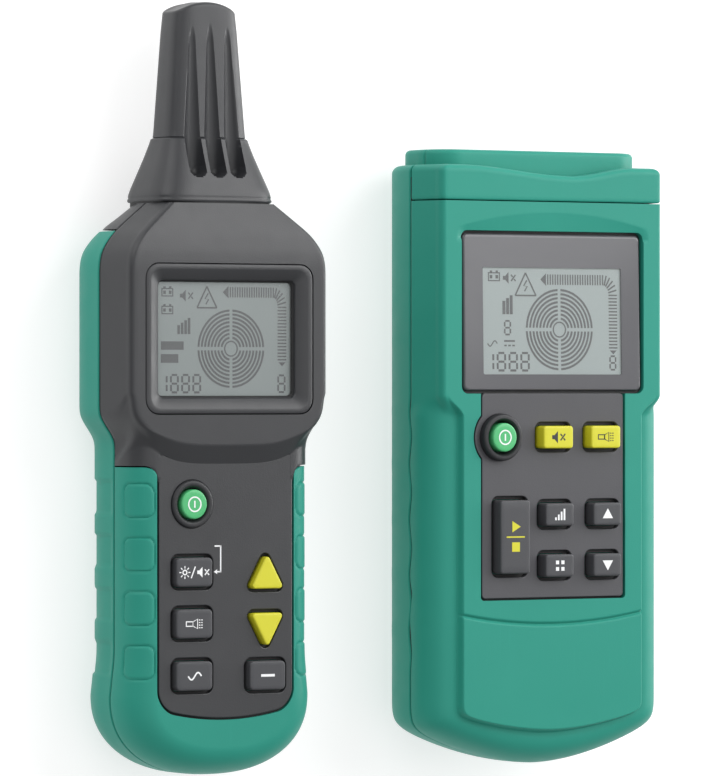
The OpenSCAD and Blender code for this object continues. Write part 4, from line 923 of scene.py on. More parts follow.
def grip_turn(points, first, last):
    """Shift in y that rounds the inner upper corners of the green grip, fading from its last row to its first."""
    radius = 6.0
    d = np.clip((np.abs(points[..., 0]) - GRIP_HALF) * 1.3, 0, radius)
    pull = -(radius - np.sqrt(radius ** 2 - (radius - d) ** 2))
    return pull * np.clip((points[..., 1] - first) / (last - first), 0, 1)


def keypad_loop(grow, top):
    """Outline of the receiver's keypad face: straight sides, and a bottom that sags between corners of 5.5 mm."""
    half, radius = GRIP_HALF + grow, 5.5 + grow
    u = half * np.sin(np.linspace(-math.pi / 2, math.pi / 2, 61))
    past = np.maximum(np.abs(u) - half + radius, 0)
    arc = np.c_[u, 18.0 - grow + 3.4 * (u / half) ** 2 + radius - np.sqrt(np.maximum(radius ** 2 - past ** 2, 0))]
    return np.concatenate([arc, [(half, top), (-half, top)]])


class LOCATOR_OT_receiver_back(bpy.types.Operator):
    """Receiver's back shell, with finger notches in its sides, a battery opening and screw holes, and its door"""
    bl_idname = "locator.receiver_back"
    bl_label = "Receiver back and door"

    def execute(self, context):
        y = bottom_rows(END_Y, RX_COLLAR_Y - COLLAR_GAP, 0.8)
        back = eased(y, [150, 159, 163.3, 168.75, RX_COLLAR_Y], [0, 0, .39, 1.95, 6.5], 1.4)
        points = shell_skin(y, rx_half(y), np.maximum(back, 0), RX_SEAM, corner_w=15.0, corner_h=18.0,
                            end=RX_END, fine=20)
        points, neck = points[y < NECK_Y], points[y > NECK_Y]
        along = np.min(np.abs(points[..., 1, None] - PAD_YS - 1.0), -1)
        side = step((points[..., 2] - 1.5) / 3.0) * step((RX_SEAM - 0.8 - points[..., 2]) / 0.8)
        depth = sizes().notch / MM * step((5.4 - along) / 0.7) * side
        points = points + depth[..., None] * grid_normals(points)
        holes = [(s * x, yy) for s in (-1, 1) for x, yy in ((20, 162.9), (14, 104.5))]
        add_back("rx", points, "receiver", RX, tab_top=27.5, bay_top=14.3, holes=holes, hole_top=9)
        neck[0, :, 1] = NECK_Y + 0.35
        skin_piece("rx_neck_skin", neck, "charcoal_plastic", "receiver", "charcoal_plastic", ("rx_back_shell",), RX)
        rows = bottom_rows(END_Y, NECK_Y + 6.0, 1.5)
        seam_shade_strip("rx_seam_liner", rows, rx_half(rows), RX_SEAM, "receiver", RX)
        return {"FINISHED"}


def grip_points():
    """Skin of the green grip, with finger pads that stand out inside a fine groove."""
    y = bottom_rows(END_Y, SPLIT_Y - 0.3, 0.42)
    grip = shell_skin(y, rx_half(y), rx_front_z(y), RX_SEAM, rx_corner(y), RX_CORNER_H, end=RX_END, fine=34,
                      flat=np.linspace(-1, 1, 25))
    normals = grid_normals(grip)
    reach = np.abs(row_reach(grip)) - GRIP_HALF
    away = grip[..., 1, None] - PAD_YS
    nearest = np.take_along_axis(away, np.abs(away).argmin(-1)[..., None], -1)[..., 0]
    pad_u, pad_half, pad_corner = 6.6, 4.9, 2.2
    pad = round_box(reach - pad_u, nearest, pad_half, pad_half, pad_corner)
    rise = sizes().pad_rise / MM * step(0.5 - pad / 0.6) - 0.42 * np.exp(-((pad - 0.3) / 0.32) ** 2)
    grip = grip + (rise * (np.abs(grip[..., 0]) > GRIP_HALF))[..., None] * normals
    grip[..., 1] += grip_turn(grip, SPLIT_Y - 14, SPLIT_Y)
    return grip


def head_points():
    """Skin of the charcoal head and neck, which slopes down to the keypad face at a bowed chin."""
    y = np.concatenate([np.linspace(HEAD_Y, CHIN_FOOT[0], 10)[:-1],
                        np.linspace(CHIN_FOOT[0], CHIN_CREST[0], 14)[:-1],
                        np.linspace(CHIN_CREST[0], RX_COLLAR_Y - COLLAR_GAP, 130)])
    head = shell_skin(y, rx_half(y), rx_front_z(y), RX_SEAM, rx_corner(y), RX_CORNER_H,
                      bevel=step((y - 97) / 9.0), flat=np.linspace(-1, 1, 61))
    rise = (head[..., 2] - RX_SEAM) / (rx_front_z(head[..., 1]) - RX_SEAM)
    slope = np.clip((CHIN_CREST[0] - y) / (CHIN_CREST[0] - CHIN_FOOT[0]), 0, 1)[:, None]
    head[..., 2] -= np.clip(rise, 0, 1) * (RX_TOP - PANEL_Z) * slope
    neck = (y < CHIN_FOOT[0] - 0.01)[:, None]
    head[..., 2] += neck * np.where(np.abs(head[..., 0]) < GRIP_HALF - 1.2, -1.6, 0.03)
    head[0, :, 2] -= 0.35 * (np.abs(head[0, :, 0]) < GRIP_HALF + 3.0)
    back_pull = grip_turn(np.stack([head[..., 0], 2 * SPLIT_Y - head[..., 1]], -1), SPLIT_Y - 10, SPLIT_Y)
    bent = chin_bend(head, y)
    head[..., 0] *= rx_half(y[:, None] + bent) / rx_half(y)[:, None]
    head[..., 1] += back_pull * (1 - step((y - SPLIT_Y) / 0.7))[:, None] + bent
    return head


class LOCATOR_OT_receiver_front(bpy.types.Operator):
    """Receiver's green grip with finger pads, its charcoal head with the chin, and its keypad face"""
    bl_idname = "locator.receiver_front"
    bl_label = "Receiver grip, head and keypad face"

    def execute(self, context):
        surround = skin_piece("rx_grip_skin", grip_points(), "green_plastic", "receiver", "green_plastic",
                              ("rx_grip_surround",), RX)
        cut(surround, [keypad_loop(0.55, SPLIT_Y + 5)], PANEL_Z - 3.6, RX_ABOVE, RX)
        shell = skin_piece("rx_head_skin", head_points(), "charcoal_plastic", "receiver", "charcoal_plastic",
                           ("rx_front_shell",), RX)
        bezel_low, bezel_high = node_mm("rx_display_bezel", RX)
        size, middle = bezel_high - bezel_low, (bezel_high + bezel_low) / 2
        cut(shell, [box_path(size[0] + 0.5, size[1] + 0.5, 4.8, middle[:2])[0]], bezel_low[2] - 3, RX_ABOVE + 2, RX)
        face = add_piece("rx_keypad_face", *prism_points(keypad_loop(-0.1, 108.0), PANEL_Z - 1.4, PANEL_Z),
                         "charcoal_plastic", "receiver", "charcoal_plastic", ("rx_front_shell",), RX)
        cut(face, key_loops(1.1, RX_KEYPAD), UNDER_KEYS, RX_ABOVE, RX)
        bevelled(face, 0.3)
        # Painted shade: a black sheet under the keypad face, which shows as shadow in the gaps round the face and round
        # each key.
        floor = add_piece("rx_keypad_floor", *prism_points(keypad_loop(0.6, 104.0), PANEL_Z - 2.6, PANEL_Z - 1.5),
                          "gap_plastic", "receiver", "black_plastic", (), RX)
        cut(floor, key_loops(0.25, RX_KEYPAD), UNDER_KEYS, RX_ABOVE, RX)
        return {"FINISHED"}


class LOCATOR_OT_receiver_keys(bpy.types.Operator):
    """Receiver's seven keys and the dished ring round its power button"""
    bl_idname = "locator.receiver_keys"
    bl_label = "Receiver keys"

    def execute(self, context):
        add_keys(RX_KEYPAD, 0.0)
        add_dish("rx_power_ring", "rx_power_dish", "receiver", PANEL_Z - 2.0, PANEL_Z, RX)
        low, high = node_mm("rx_light_mute_button", RX)
        x, y0, y1 = high[0] + 2.9, (low[1] + high[1]) / 2, high[1] + 2.6
        arrow = [line([(x - 2.2, y1), (x, y1)], 0.45), line([(x, y1 + 0.22), (x, y0 - 0.22)], 0.45),
                 line([(x, y0), (x - 1.4, y0)], 0.45), [(x - 2.5, y0), (x - 1.3, y0 - 0.75), (x - 1.3, y0 + 0.75)]]
        print_piece("rx_panel_print", arrow, PANEL_Z, "white_ink", "receiver", "charcoal_plastic", RX)
        return {"FINISHED"}


class LOCATOR_OT_receiver_nose(bpy.types.Operator):
    """Receiver's sensing nose: a flared collar, a slim tip and three finger grooves"""
    bl_idname = "locator.receiver_nose"
    bl_label = "Receiver nose"

    def execute(self, context):
        add_piece("rx_nose_skin", *nose_surface(), "charcoal_plastic", "receiver", "charcoal_plastic",
                  ("rx_sensor_nose",), RX, sharp=50)
        # Painted shade: a black ring that fills the gap between the collar and the head, so that it reads as shadow.
        u = np.linspace(0, 2 * math.pi, 64, endpoint=False)
        seal = np.c_[21.85 * np.sign(np.cos(u)) * np.abs(np.cos(u)) ** 0.6,
                     20.4 + 13.75 * np.sign(np.sin(u)) * np.abs(np.sin(u)) ** 0.6]
        points, faces = prism_points(seal, RX_COLLAR_Y - 2.5, RX_COLLAR_Y + 1.0)
        add_piece("rx_nose_seal", points[:, [0, 2, 1]], faces, "gap_plastic", "receiver", "black_plastic", (), RX)
        return {"FINISHED"}


def nose_surface():
    """Nose as rings along y: a squared oval, |u/w|^p + |z/h|^p = 1, with grooves let into its front.

    A groove's floor is an arc of radius r(y) that narrows to the tip, and it ends in a quarter ball in the collar.
    The tip is rounded over, falls away to both sides, and is open in the middle for the lens.
    """
    lens_r, tip_r, middle_z, power = 3.3, 1.4, 19.4, 4.2
    join_y, groove_y = 198.8, 189.6
    turn = np.linspace(0, math.pi / 2, 9)
    straight = np.concatenate([np.arange(RX_COLLAR_Y + 0.15, 198.1, 0.45), np.linspace(198.1, 199.5, 15),
                               np.arange(200, RX_LENGTH - tip_r, 0.9)])
    y = np.concatenate([straight, RX_LENGTH - tip_r + tip_r * np.sin(turn)])
    inset = np.concatenate([np.zeros(len(straight)), tip_r * (1 - np.cos(turn))])
    inset = inset + 0.35 * np.exp(-((y - join_y) / 0.22) ** 2) + 0.5 * np.exp(-((y - RX_COLLAR_Y) / 0.3) ** 2)
    inset = inset + 0.25 * np.exp(-((y - RX_COLLAR_Y - 1.4) / 0.18) ** 2) + 0.45 * (y > join_y)
    stations = [RX_COLLAR_Y, 181.5, 187, 193.1, join_y, 239.1]
    w = eased(y, stations, [22, 21.6, 19.4, 17.0, 15, 11.8], 1.2) - inset
    front = eased(y, stations, [34.5, 34.1, 32.2, 30.0, 28.2, 26.6], 1.2) - inset
    back = eased(y, stations, [6.5, 6.9, 8.6, 10.5, 12.1, 13.0], 1.2) + inset
    r = np.interp(y, [189, 199, 239], [3.0, 2.9, 0.8])[:, None]
    floor = np.interp(y, [189, 199, 229, 239], [25.6, 25.6, 25.7, 26.9])[:, None]
    centres = np.array([-7.3, 0, 7.3]) * np.interp(y, [199, RX_LENGTH], [1, 0.86])[:, None]
    inside = np.linspace(-1, 1, 15)
    grooves = centres[:, :, None] + r[:, :, None] * inside
    land = np.linspace(0.01, 0.99, 4)
    lands = [grooves[:, k, -1:] + (grooves[:, k + 1, :1] - grooves[:, k, -1:]) * land for k in (0, 1)]
    ease = np.sin(np.linspace(0.01, math.pi / 2, 14))
    right = grooves[:, 2, -1:] + (w[:, None] - grooves[:, 2, -1:]) * ease
    u = np.concatenate([-right[:, ::-1], grooves[:, 0], lands[0], grooves[:, 1], lands[1], grooves[:, 2], right], 1)
    oval = (1 - np.clip(np.abs(u) / w[:, None], 0, 1) ** power) ** (1 / power)
    z = middle_z + (front - middle_z)[:, None] * oval
    end = np.clip(groove_y - y, 0, None)[:, None]
    nearest = np.min(np.abs(u[..., None] - centres[:, None, :]), -1)
    left_over = r * r - nearest ** 2 - end ** 2
    trough = floor + r - np.sqrt(np.maximum(left_over, 0))
    in_groove = (nearest <= r * 1.0001) & (left_over >= -1e-6)
    z = np.where(in_groove, np.minimum(z, trough), z)
    angle = np.linspace(0, math.pi, 26)[1:-1]
    bu = w[:, None] * np.sign(np.cos(angle)) * np.abs(np.cos(angle)) ** (2 / power)
    bz = middle_z - (middle_z - back)[:, None] * np.abs(np.sin(angle)) ** (2 / power)
    ring_u, ring_z = np.concatenate([u, bu], 1), np.concatenate([z, bz], 1)
    dome = 2.8 * np.abs(ring_u / w[:, None]) ** 2.2 * np.clip((y - RX_LENGTH + 9.0) / 9.0, 0, 1)[:, None]
    rings = np.stack([ring_u, y[:, None] - dome, ring_z], -1)
    bearing = np.arctan2(ring_z[-1] - middle_z, ring_u[-1])
    eye = np.stack([lens_r * np.cos(bearing), np.full_like(bearing, RX_LENGTH),
                    middle_z + lens_r * np.sin(bearing)], -1)
    deep = eye - np.array([0, 2.2, 0])
    rings = np.concatenate([rings, eye[None], deep[None]])
    return rings, tube_faces(*rings.shape[:2])


class LOCATOR_OT_receiver_display(bpy.types.Operator):
    """Receiver's sloped bezel, clear window and display with its marks"""
    bl_idname = "locator.receiver_display"
    bl_label = "Receiver display"

    def execute(self, context):
        low, high = node_mm("rx_display_bezel", RX)
        middle, size = (low + high) / 2, high - low
        centre, top, foot = middle[:2], high[2], low[2] + 0.2
        opening = np.array([50.0, 36.6])
        outer, _ = box_path(*size[:2], 4.5, centre)
        inner, _ = box_path(*opening, 1.8, centre)
        rows = [(0, foot), (0, top - 0.35), (0.02, top - 0.1), (0.06, top), (0.3, top), (0.36, top - 0.08),
                (0.94, top - 1.75), (0.985, top - 1.95), (1, top - 2.2), (1, foot)]
        add_piece("rx_bezel_frame", *ring_between(outer, inner, rows), "charcoal_plastic", "receiver", "dark_plastic",
                  ("rx_display_bezel",), RX, sharp=50)
        wide, _ = box_path(*(opening + 0.6), 1.8, centre)
        thin, _ = box_path(*(opening - 1.1), 1.4, centre)
        lift = top - 3.3
        seal = [(0, foot), (0, lift + 0.9), (1, lift + 0.3), (1, foot)]
        add_piece("rx_window_seal", *ring_between(wide, thin, seal), "gap_plastic", "receiver", "black_plastic", (), RX)
        rows = [(0, 1, lift - 0.2), (0, 1, lift + 0.1), (-0.15, 1, lift + 0.2)]
        add_piece("rx_window_pane", *stacked(*box_path(*(opening - 1.2), 1.4, centre), rows), "clear_pane", "receiver",
                  "clear_window", ("rx_display_window",), RX)
        rows = [(0, 1, node_mm("rx_lcd_panel", RX)[0][2]), (0, 1, lift - 0.5)]
        add_piece("rx_display_layer", *stacked(*box_path(*(opening - 1.3), 1.4, centre), rows), "display_glass",
                  "receiver", "display", ("rx_lcd_panel",), RX)
        marks = placed(battery_mark(), -20.6, 14.4, 1.15) + placed(battery_mark(), -20.6, 8.9, 1.15)
        marks += shared_marks({"speaker": (-13.6, 13.4), "alarm": (-6.2, 13.0), "alarm_size": (7.2, 6.6)},
                              (2.6, -3.0, 12.2), (2.4, 18.2, 14.6, 21.4, 10.0, -6.4, 19))
        marks += placed(bars_mark(4, 0.7, 0.55), -14.6, 4.0, 1.8)
        marks += [bar(-18.8, -2.1, 8.2, 2.6), bar(-19.8, -6.1, 6.3, 2.7)]
        marks += placed(digit_marks("1888", 2.5, 5.4, 0.65), -16.0, -13.9)
        marks += placed(digit_marks("8", 2.4, 5.2, 0.6), 21.2, -13.9)
        print_piece("rx_display_marks", placed(marks, *centre), lift - 0.5, "display_ink", "receiver", "display", RX)
        return {"FINISHED"}


# Transmitter

TX_BASE_Z = 39.6
TX_END_Y = 20.0
# Bottom ends of the front and the back, as for the receiver
TX_END = (TX_END_Y, TX_HALF, blunt_end, 1.0)
TX_BACK_END = (TX_END_Y, TX_HALF, blunt_end, 0.55)
TX_CORNER, TX_CORNER_H, TX_OVER_H = 4.5, 10.0, 3.4
POD_HALF = 35.9
WINDOW = node_mm("tx_display_window", TX)


def tx_half(y):
    """Half width of the transmitter along its length."""
    return TX_HALF * blunt_end(y / TX_END_Y)


def tx_high(y):
    """Share of the way from the low front beside the keypad to the full front beside the display."""
    return step((y - 111.5) / 7.1)


def tx_seam(y):
    """Height of the parting line: a shallow wave along the hand hold, level above and below it."""
    return TX_SEAM + 0.55 * np.sin((y - 30.0) / 17.7 * 2 * math.pi) * step((y - 28.0) / 8.0) * step((120.0 - y) / 8.0)


def pod_reach(points, y):
    """Distance into the raised pod from its outline, which runs out into the full face beside the display.

    Round the bottom end it is taken from how far a point lies inside the end's family of curves.
    """
    share = np.clip(y / TX_END_Y, 0, 1)[:, None]
    low = (points[..., 1] - TX_END_Y * share) / np.maximum(1 - share, 0.3)
    inside = np.where(share < 0.6, low, TX_HALF - np.abs(points[..., 0]) / np.maximum(blunt_end(share), 0.5))
    return inside - (TX_HALF - POD_HALF) + (TX_HALF - TX_CORNER - POD_HALF) * tx_high(y)[:, None]


class LOCATOR_OT_transmitter_back(bpy.types.Operator):
    """Transmitter's back shell with a battery opening and screw holes, and its door"""
    bl_idname = "locator.transmitter_back"
    bl_label = "Transmitter back and door"

    def execute(self, context):
        turn = np.linspace(0, math.pi / 2, 8)[1:]
        radius = 2.4
        y = bottom_rows(TX_END_Y, TX_LENGTH - radius, 1.0)
        inset = np.concatenate([np.zeros(len(y)), radius * (1 - np.cos(turn))])
        y = np.concatenate([y, TX_LENGTH - radius * (1 - np.sin(turn))])
        points = shell_skin(y, tx_half(y) - inset, inset, tx_seam(y), corner_w=24.0, corner_h=25.5,
                            end=TX_BACK_END, fine=24)
        holes = [(s * 18, yy) for s in (-1, 1) for yy in (32.45, 177.1)]
        add_back("tx", points, "transmitter", TX, tab_top=39.0, bay_top=20.3, holes=holes, hole_top=12)
        rows = np.delete(bottom_rows(TX_END_Y, TX_LENGTH - 4.0, 1.0), [1, 2, 3])
        seam_shade_strip("tx_seam_liner", rows, tx_half(rows), tx_seam(rows), "transmitter", TX)
        return {"FINISHED"}


# Brow over the display: where it starts to fall and its edge along y, its bow and its half width
BROW = (170.0, 177.0, 5.2, 37.5)


def tx_front_points():
    """Front skin of the transmitter with the raised pod, the groove across it and the brow over the display.

    Rows near the groove and the brow are bent by c(u/w)^2 so that both follow a row.
    """
    y = bottom_rows(TX_END_Y, TX_CAP_Y - 0.3, 0.62, 40)
    y = np.unique(np.concatenate([y, np.linspace(43.6, 46.4, 17), np.linspace(BROW[0], BROW[1] + 0.6, 20)]))
    high = tx_high(y)
    points = shell_skin(y, tx_half(y), TX_BASE_Z + (TX_FACE - TX_BASE_Z) * high, tx_seam(y),
                        9.0 + (TX_CORNER - 9.0) * high, TX_CORNER_H, bevel=high, end=TX_END, fine=24,
                        flat=np.linspace(-1, 1, 71), over_h=TX_OVER_H, rim=np.linspace(0, 4.0, 19)[1:])
    row = y[:, None]
    u, z = points[..., 0], points[..., 2]
    reach = pod_reach(points, y)
    groove_bend = 3.5 * np.minimum((u / POD_HALF) ** 2, 1) * step((row - 31.0) / 12.0) * step((62.0 - row) / 14.0)
    brow_bend = BROW[2] * np.minimum((u / BROW[3]) ** 2, 1) * np.interp(row, [168, BROW[1], TX_CAP_Y - 0.3], [0, 1, 0])
    points[..., 1] += groove_bend - brow_bend
    z = z + np.maximum(TX_FACE - z, 0) * step(reach / 1.3) * (z > TX_SEAM + 2) * (row < 118.6)
    z = z - 0.75 * np.exp(-((row - 45.0) / 0.5) ** 2) * step((reach - 0.2) / 0.8)
    fall = np.clip((BROW[1] - row) / (BROW[1] - BROW[0]), 0, 1) * step((row - 167.0) / 3.0) * (row > 160)
    points[..., 2] = z - 1.1 * fall * step((BROW[3] - np.abs(u)) / 3.5)
    return points


def tx_panel_loop(grow):
    """Outline of the keypad panel: a rounded rectangle that bulges round the power ring at its upper left."""
    low, high = node_mm("tx_keypad_panel", TX)
    ring_low, ring_high = node_mm("tx_power_ring", TX)
    ring = (ring_low + ring_high)[:2] / 2
    half, y0, y1 = high[0] + grow, low[1] - grow, WINDOW[0][1] - 1.0 + grow
    radius = 9.5 + grow
    swing = math.acos(min(1.0, (half + ring[0]) / radius))
    arc = np.linspace(math.pi - swing, math.pi + swing, 15)
    bulge = np.c_[ring[0] + radius * np.cos(arc), ring[1] + radius * np.sin(arc)]
    path, _ = box_path(2 * half, y1 - y0, 1.2, (0, (y0 + y1) / 2))
    n = len(path) // 4
    return np.concatenate([path[:3 * n], bulge, path[3 * n:]])


class LOCATOR_OT_transmitter_front(bpy.types.Operator):
    """Transmitter's front shell with its pod, and the keypad panel"""
    bl_idname = "locator.transmitter_front"
    bl_label = "Transmitter front and keypad panel"

    def execute(self, context):
        shell = skin_piece("tx_front_skin", tx_front_points(), "green_plastic", "transmitter", "green_plastic",
                           ("tx_front_shell",), TX)
        size, middle = WINDOW[1] - WINDOW[0], (WINDOW[0] + WINDOW[1]) / 2
        cut(shell, [box_path(size[0] + 2.07, size[1] + 2.07, 2.4, middle[:2])[0]], WINDOW[0][2] - 4.43, TX_ABOVE, TX)
        cut(shell, [tx_panel_loop(0.7)], TX_FACE - 3.6, TX_ABOVE, TX)
        panel = add_piece("tx_panel_face", *prism_points(tx_panel_loop(0), TX_FACE - 1.8, TX_FACE - 0.3),
                          "panel_plastic", "transmitter", "charcoal_plastic", ("tx_keypad_panel",), TX)
        cut(panel, key_loops(1.3, TX_KEYPAD), UNDER_KEYS, TX_ABOVE, TX)
        bevelled(panel, 0.3)
        # Painted shade: a black sheet under the keypad panel, which shows as shadow in the gaps round the panel and
        # round each key.
        floor = add_piece("tx_keypad_floor", *prism_points(tx_panel_loop(0.65), TX_FACE - 3.0, TX_FACE - 1.9),
                          "gap_plastic", "transmitter", "black_plastic", (), TX)
        cut(floor, key_loops(0.25, TX_KEYPAD), UNDER_KEYS, TX_ABOVE, TX)
        return {"FINISHED"}


class LOCATOR_OT_transmitter_keys(bpy.types.Operator):
    """Transmitter's eight keys and the dished ring round its power button"""
    bl_idname = "locator.transmitter_keys"
    bl_label = "Transmitter keys"

    def execute(self, context):
        add_keys(TX_KEYPAD, sizes().print_t / MM)
        add_dish("tx_power_ring", "tx_power_dish", "transmitter", TX_FACE - 2.0, TX_FACE - 0.3, TX)
        return {"FINISHED"}


class LOCATOR_OT_transmitter_display(bpy.types.Operator):
    """Transmitter's display window with its printed frame, gasket and clear cover"""
    bl_idname = "locator.transmitter_display"
    bl_label = "Transmitter display"

    def execute(self, context):
        low, high = WINDOW
        middle, size = (low + high) / 2, high - low
        view = middle[:2] + np.array([0, -2.8])
        opening, layer = np.array([54.0, 34.2]), (59.0, 40.0)
        outer, _ = box_path(*size[:2], 1.6, middle[:2])
        inner, _ = box_path(*opening, 0.6, view)
        top = high[2] - 0.1
        rows = [(0, top - 1.6), (0, top - 0.6), (0.03, top - 0.2), (0.08, top), (0.1, top), (0.98, top), (1, top),
                (1, top - 0.4), (0.2, top - 0.4), (0.2, top - 1.6)]
        add_piece("tx_window_frame", *ring_between(outer, inner, rows), "window_plastic", "transmitter", "dark_window",
                  ("tx_display_window",), TX, lean=window_lean)
        wide, _ = box_path(*(size[:2] + 1.9), 2.3, middle[:2])
        narrow, _ = box_path(*(size[:2] - 1.0), 1.2, middle[:2])
        seal = [(0, top - 3.2), (0, top - 1.5), (1, top - 1.7), (1, top - 3.2)]
        add_piece("tx_window_seal", *ring_between(wide, narrow, seal), "gap_plastic", "transmitter", "black_plastic",
                  (), TX, lean=window_lean)
        rows = [(0, 1, top - 0.3), (0, 1, top - 0.05), (-0.05, 1, top)]
        add_piece("tx_window_pane", *stacked(*box_path(*(opening - 0.1), 0.6, view), rows), "clear_pane",
                  "transmitter", "clear_window", ("tx_display_window",), TX, lean=window_lean)
        # Painted light: this display layer takes the brighter copy of the display colour.
        rows = [(0, 1, node_mm("tx_lcd_panel", TX)[0][2] + 1.0), (0, 1, top - 0.5)]
        add_piece("tx_display_layer", *stacked(*box_path(*layer, 0.6, view), rows), "bright_display",
                  "transmitter", "display", ("tx_lcd_panel",), TX, lean=window_lean)
        marks = placed(battery_mark(), -21.6, 13.6, 1.2)
        marks += shared_marks({"speaker": (-15.8, 13.3), "alarm": (-9.8, 11.4), "alarm_size": (7.8, 7.0)},
                              (2.8, -2.6, 12.6), (-1.4, 19.4, 12.9, 23.2, 8.2, -8.2, 23))
        marks += placed(bars_mark(3, 0.65, 0.7), -16.6, 5.0, 2.1)
        marks += placed(digit_marks("8", 2.1, 4.2, 0.55), -16.7, -2.1)
        marks += placed(wave_mark(), -22.4, -7.0, 0.75) + [bar(-16.0, -6.2, 4.0, 0.55)]
        marks += [bar(-16.0 + k, -7.6, 0.9, 0.5) for k in (-1.5, 0, 1.5)]
        marks += placed(digit_marks("1888", 2.8, 5.4, 0.68), -16.9, -12.6)
        marks += placed(digit_marks("8", 2.1, 4.2, 0.55), 23.0, -12.9)
        print_piece("tx_display_marks", placed(marks, *view, 1.035), top - 0.5, "display_ink",
                    "transmitter", "display", TX, window_lean)
        return {"FINISHED"}


def window_lean(points):
    """The display window leans back: its upper edge lies lower in the front than its lower edge."""
    points = np.array(points, float)
    points[..., 2] -= 0.9 * (points[..., 1] - WINDOW[0][1]) / (WINDOW[1][1] - WINDOW[0][1])
    return points


def cap_surface():
    """Front half of the top end: arches that rise, go in round the top edge, over the top and down by the boss.

    The front dips by d(1 + cos(pi s))/2, where s runs from -1 to 1 across the wave.
    """
    turn = np.linspace(0, math.pi / 2, 8)
    rows = [(0.35, 0.35, TX_CAP_Y + 0.05), (0.1, 0.1, TX_CAP_Y + 0.3), (0, 0, TX_CAP_Y + 0.6)]
    rows += [(0, 0, y) for y in np.linspace(TX_CAP_Y + 1.5, TX_LENGTH - 2.6, 8)]
    rows += [(2.2 * (1 - math.cos(a)), 2.2 * (1 - math.cos(a)), TX_LENGTH - 2.2 * (1 - math.sin(a))) for a in turn]
    rows += [(3.4, 3.8, TX_LENGTH), (4.4, 6.0, TX_LENGTH), (4.75, 6.5, TX_LENGTH - 0.4), (4.75, 6.5, TX_CAP_Y + 0.05)]
    side, front, y = np.array(rows).T
    points = shell_skin(y, TX_HALF - side, TX_FACE - front, TX_SEAM, TX_CORNER, TX_CORNER_H, bevel=1.0,
                        flat=np.linspace(-1, 1, 81), over_h=TX_OVER_H)
    u = points[..., 0]
    share = np.clip(np.where(u < 8.0, (u - 8.0) / 43.0, (u - 8.0) / 25.0), -1, 1)
    much = step((y - TX_CAP_Y - 1.5) / (TX_LENGTH - TX_CAP_Y - 2.5))[:, None]
    points[..., 1] -= 3.0 * (1 + np.cos(math.pi * share)) / 2 * much
    count, n = points.shape[:2]
    ends = [[(np.arange(count) * n)[::-1].tolist()], [(np.arange(count) * n + n - 1).tolist()]]
    return points, [grid_faces(count, n, close_rows=True)] + ends


class LOCATOR_OT_transmitter_top(bpy.types.Operator):
    """Transmitter's top cap with its wave, and the terminal block with the lead sockets"""
    bl_idname = "locator.transmitter_top"
    bl_label = "Transmitter cap and terminal block"

    def execute(self, context):
        add_piece("tx_cap_skin", *cap_surface(), "green_plastic", "transmitter", "green_plastic", ("tx_top_cap",), TX)
        low, high = node_mm("tx_terminal_block", TX)
        middle, size = (low + high) / 2, high - low - 2.8
        path, normals = box_path(size[0], size[2], 10.5, middle[[0, 2]], 60)
        path = path - normals * (0.4 * np.exp(-((path[:, 1] - TX_SEAM) / 0.22) ** 2))[:, None]
        turn = np.linspace(0, math.pi / 2, 7)
        radius, top = 1.6, high[1]
        edge = [(-radius * (1 - math.cos(a)), 1, top - radius * (1 - math.sin(a))) for a in turn]
        points, faces = stacked(path, normals, [(0, 1, low[1]), (0, 1, top - 3)] + edge + [(-radius, 0.9, top)])
        block = add_piece("tx_terminal_skin", points[..., [0, 2, 1]], faces, "green_plastic", "transmitter",
                          "green_plastic", ("tx_terminal_block",), TX)
        hole_z = 22.7
        holes = [circle_path(r, (x, hole_z))[0] for r, x in ((3.25, -9.5), (3.25, 9.5), (3.3, 26))]
        cut(block, holes, top - 2.5, top + 2, TX, axes=(0, 2, 1))
        return {"FINISHED"}


# Finishes of the frame's own pieces by a word in their names, where the first that fits counts
INNER_FINISHES = {
    "torch_lens": "lens_plastic", "socket": "brass", "screw": "steel", "contacts": "steel", "board": "board",
    "core": "ferrite", "winding": "copper", "batter": "cell", "mat": "mat",
}


class LOCATOR_OT_inner_finishes(bpy.types.Operator):
    """Finishes of the pieces that keep the frame's own shape: sockets, screws, lenses, cells and boards"""
    bl_idname = "locator.inner_finishes"
    bl_label = "Sockets, screws, lenses and inner pieces"

    def execute(self, context):
        for name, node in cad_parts.items():
            if not node.hide_render:
                looks = [look for word, look in INNER_FINISHES.items() if word in name]
                node.data.materials.clear()
                node.data.materials.append(finish((looks + ["gap_plastic"])[0]))
        return {"FINISHED"}


WORLD_LIGHT = 0.42
FLOOR_GLOW = 0.64
FLOOR_Z = -0.0006
CAMERA_YAW = math.radians(33.0)
CAMERA_DISTANCE = 2.0
CAMERA_TARGET = Vector((-0.0058, 0.0, 0.02))
FOCAL_PIXELS = 6280.0
PICTURE_HEIGHT = 776.0
SENSOR = 36.0
LAMPS = {
    "key_light": ((0.62, 0.58, 0.85), (0, 0, 0), 0.95, 9.5),
    "fill_light": ((-0.2, -0.1, 1.8), (0, 0, 0), 1.6, 6.0),
    "low_light": ((-0.7, 0.8, 0.5), (-0.05, 0, 0.02), 0.9, 4.6),
    "side_light": ((0.95, 0.15, 0.32), (-0.06, 0.02, 0.03), 0.55, 5.0),
}


